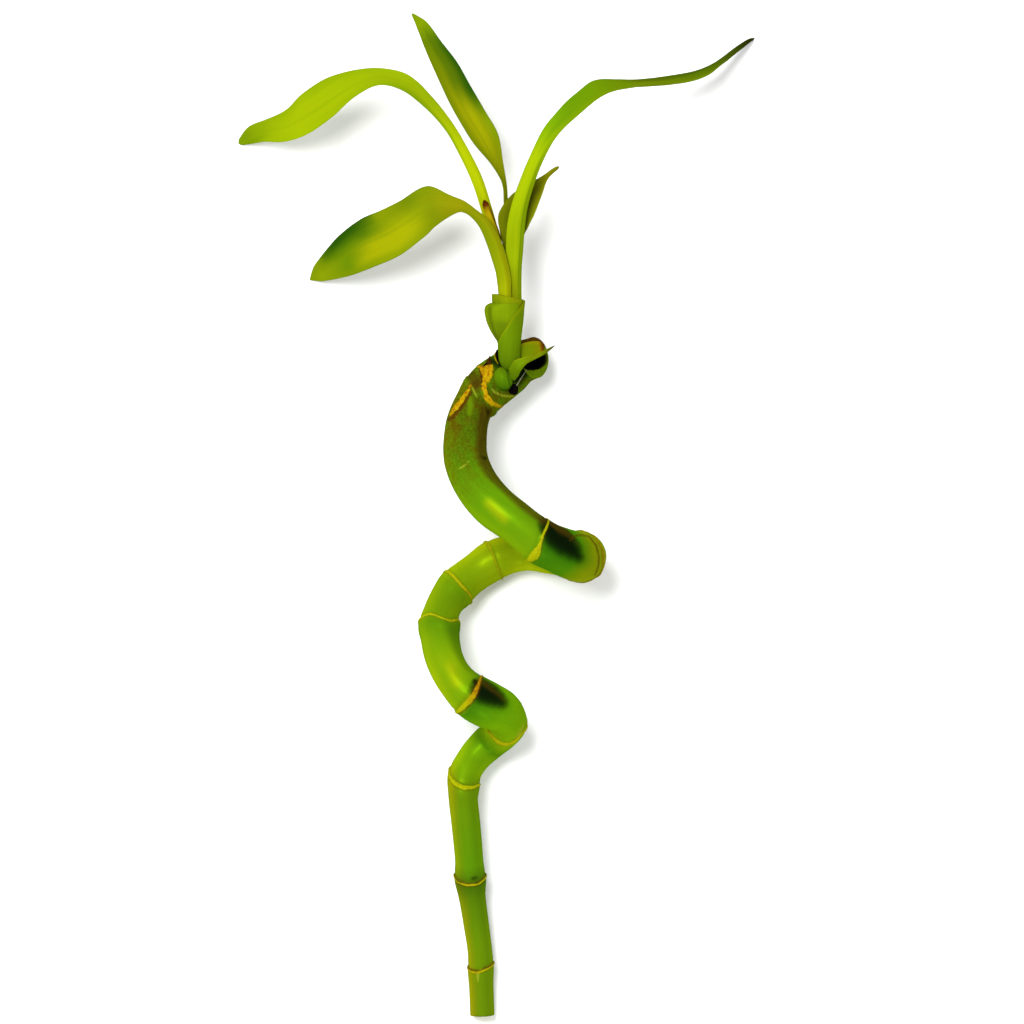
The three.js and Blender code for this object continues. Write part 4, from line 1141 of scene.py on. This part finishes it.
def wrap_piece(name, rows, sides, foot, top, edges, reach, thickness):
    """A sheath round the shoot: a thin shell between two edges that run along it. `top` gives its
    upper end at an angle, `edges` the angles of its two edges at a level, and `reach` how far it
    stands off the shoot's own oval from its level, its angle and its share of the turn."""
    course = Course(SHOOT_COURSE)
    heights = course.centre[:, 1]

    def place(ring, turn):
        level = np.linspace(0, 1, rows)[ring]
        share = np.cos(FULL_TURN * turn)
        face = np.sin(FULL_TURN * turn)
        first, last = edges(level)
        angle = (first + last) / 2 + share * (last - first) / 2
        arc = np.interp(foot + (top(angle) - foot) * level, heights, course.arc)
        centre, _, side, up = course.frames(arc)
        width = course.column(0, arc) / 2
        deep = course.column(1, arc) / 2
        facing = np.cos(angle)[:, None] * side + np.sin(angle)[:, None] * up
        oval = width * deep / np.hypot(deep * np.cos(angle), width * np.sin(angle))
        wall = thickness / 2 * np.sign(face) * np.sqrt(np.abs(face))
        radius = oval + wall + reach(level, angle, (share + 1) / 2)
        points = centre + facing * radius[:, None]
        ribs = np.stack([angle * oval, np.where(face >= 0, 0.0, OTHER_FACE), arc], axis=1)
        return points, {"along": level, "across": share, "ribs": ribs}

    return wrapped_skin(name, rows, sides, place)


def build_cane():
    cane = Cane()
    piece = wrapped_skin("cane_skin", len(cane.arcs), CANE_SIDES, cane.place)
    dress(piece, cane_finish(), "cane", "cane")


def build_leaves():
    for name, leaf in LEAVES.items():
        piece = leaf_piece(name + "_blade", leaf, *LEAF_MESHES.get(name, LARGE_LEAF_MESH))
        dress(piece, leaf_finish(name), LEAF_SLOTS.get(name, "leaf"), name)


def collar_height(angle):
    """The collar's top edge: highest at its left corner, lowest at its right one."""
    corner = COLLAR_TOP["left corner"] * soft_step(-np.cos(angle), 0.6, 1.0)
    return COLLAR_TOP["middle"] - COLLAR_TOP["slant"] * np.cos(angle) + corner


def build_shoot():
    """Three sheaths rolled round each other: an inner tube, an outer one whose edge runs slantwise
    over the front, and between them one that folds out at the left."""

    def all_round(level):
        return np.full(len(level), -math.pi), np.full(len(level), math.pi)

    def slanting(level):
        front = np.interp(level, *OUTER_EDGE)
        return front - FULL_TURN - OUTER_OVERLAP, front

    def at_the_left(level):
        return tuple(np.full(len(level), edge) for edge in FOLD_EDGES)

    def just_inside(level, angle, share):
        return -0.2

    def overlapping(level, angle, share):
        return soft_step(level, 0, 0.1) * (0.1 + 0.55 * share)

    def folding_out(level, angle, share):
        return 0.32 + np.interp(level, *FOLD_SWELL) * bump(np.cos(angle) + 1, 0.45)

    tissue = leaf_finish("sheath")
    inner = wrap_piece("sheath_inner", 80, 72, SHEATH_FEET["inner"], collar_height,
                       all_round, just_inside, SHEATH_WALL)
    dress(inner, tissue, "sheath", "shoot")
    outer = wrap_piece("sheath_outer", 90, 120, SHEATH_FEET["outer"],
                       lambda angle: collar_height(angle) - OUTER_BELOW_COLLAR,
                       slanting, overlapping, SHEATH_WALL)
    dress(outer, tissue, "sheath", "shoot")
    fold = wrap_piece("sheath_fold", 60, 60, SHEATH_FEET["fold"], lambda angle: FOLD_TOP,
                      at_the_left, folding_out, FOLD_WALL)
    dress(fold, leaf_finish("fold"), "sheath", "shoot")


def ball_piece(name, ball, rows, sides, lumps):
    """A closed lumpy ball round a middle point, with a shallow crease down its front."""

    def place(ring, turn):
        polar = math.pi * (0.01 + 0.98 * ring / (rows - 1))
        angle = FULL_TURN * turn
        across = np.sin(polar)
        unit = [across * np.cos(angle), -np.cos(polar), across * np.sin(angle)]
        unit = np.stack(unit, axis=1)
        crease = soft_step(np.abs(np.degrees(angle) - 60 - 20 * unit[:, 1]), 7, 0)
        grown = 1 + lumps * grained(unit, (1.6, 1.6, 1.6), 5) - 0.03 * crease
        local = unit * np.array(ball["half"]) * grown[:, None]
        cos, sin = math.cos(ball["turn"]), math.sin(ball["turn"])
        x = local[:, 0] * cos - local[:, 1] * sin
        y = local[:, 0] * sin + local[:, 1] * cos
        points = np.stack([x, y, local[:, 2]], axis=1) + ball["middle"]
        return points, {"along": ring / (rows - 1), "across": unit[:, 0] * 0.9, "ribs": local}

    return wrapped_skin(name, rows, sides, place)


def build_small_pieces():
    """The bud, the black knob, the scale in the stump, the dry scraps, a sliver of painted shade
    and a loose fibre.
    """
    dress(ball_piece("bud_lobe", BUD, 48, 64, 0.03), leaf_finish("bud"), "sheath", "bud")
    dark = dry_finish("dark scrap", (0.001, 0.001), (0.008, 0.005))
    brown = dry_finish("dry scrap", (0.015, 0.007), (0.07, 0.03))
    pale = dry_finish("pale fibre", (0.16, 0.18, 0.1), (0.32, 0.35, 0.22))
    straw = dry_finish("straw shred", (0.3, 0.22), (0.5, 0.42))
    dress(ball_piece("dark_knob", KNOB, 28, 36, 0.25), dark, "dry_scale")
    finishes = {
        "stump_scale": (leaf_finish("stump_scale"), "sheath"),
        "dry_flake": (brown, "dry_scale"),
        # Painted shade, in the near-black dry finish.
        "shade_sliver": (dark, "dry_scale"),
        "pale_shred": (straw, "dry_scale"),
        "loose_fibre": (pale, "dry_scale"),
    }
    for name, scrap in SCRAPS.items():
        material, slot = finishes[name]
        dress(leaf_piece(name, scrap, *SCRAP_MESH), material, slot)


def build_floor():
    bm = bmesh.new()
    bmesh.ops.create_grid(bm, x_segments=1, y_segments=1, size=FLOOR_SIZE)
    floor = finished_piece("floor", bm)
    f = Finish("pale floor")
    floor.data.materials.append(f.material)
    f.end(f.node("ShaderNodeBsdfPrincipled", {}, {
        "Base Color": (FLOOR_GREY, FLOOR_GREY, FLOOR_GREY, 1), "Roughness": 0.9,
        "Specular IOR Level": 0.1,
    }))


def build_lights():
    """Soft light from above and a little to the left, with a faint even light all round."""
    scene = bpy.context.scene
    scene.view_settings.view_transform = "Standard"
    scene.view_settings.look = "None"
    world = bpy.data.worlds.new("studio")
    world.use_nodes = True
    background = world.node_tree.nodes["Background"]
    background.inputs["Color"].default_value = (1, 1, 1, 1)
    background.inputs["Strength"].default_value = EVEN_LIGHT
    scene.world = world
    for name, (place, size, power) in LAMPS.items():
        add_lamp(name, place, size, power)


def add_lamp(name, place, size, power):
    lamp = bpy.data.lights.new(name, "AREA")
    lamp.shape = "DISK"
    lamp.size = size
    lamp.energy = power
    light = bpy.data.objects.new(name, lamp)
    light.location = place
    light.rotation_euler = (-Vector(place)).to_track_quat("-Z", "Y").to_euler()
    light.visible_camera = False
    bpy.context.scene.collection.objects.link(light)


def add_camera():
    lens = bpy.data.cameras.new("camera")
    lens.lens = LENS
    lens.sensor_width = SENSOR
    lens.clip_end = FARTHEST
    camera = bpy.data.objects.new("camera", lens)
    distance = VIEW_WIDTH * LENS / SENSOR
    camera.location = [side * MM for side in (*VIEW_MIDDLE, VIEW_HEIGHT + distance)]
    bpy.context.scene.collection.objects.link(camera)
    bpy.context.scene.camera = camera


build_floor()
build_lights()
add_camera()
build_cane()
build_leaves()
build_shoot()
build_small_pieces()
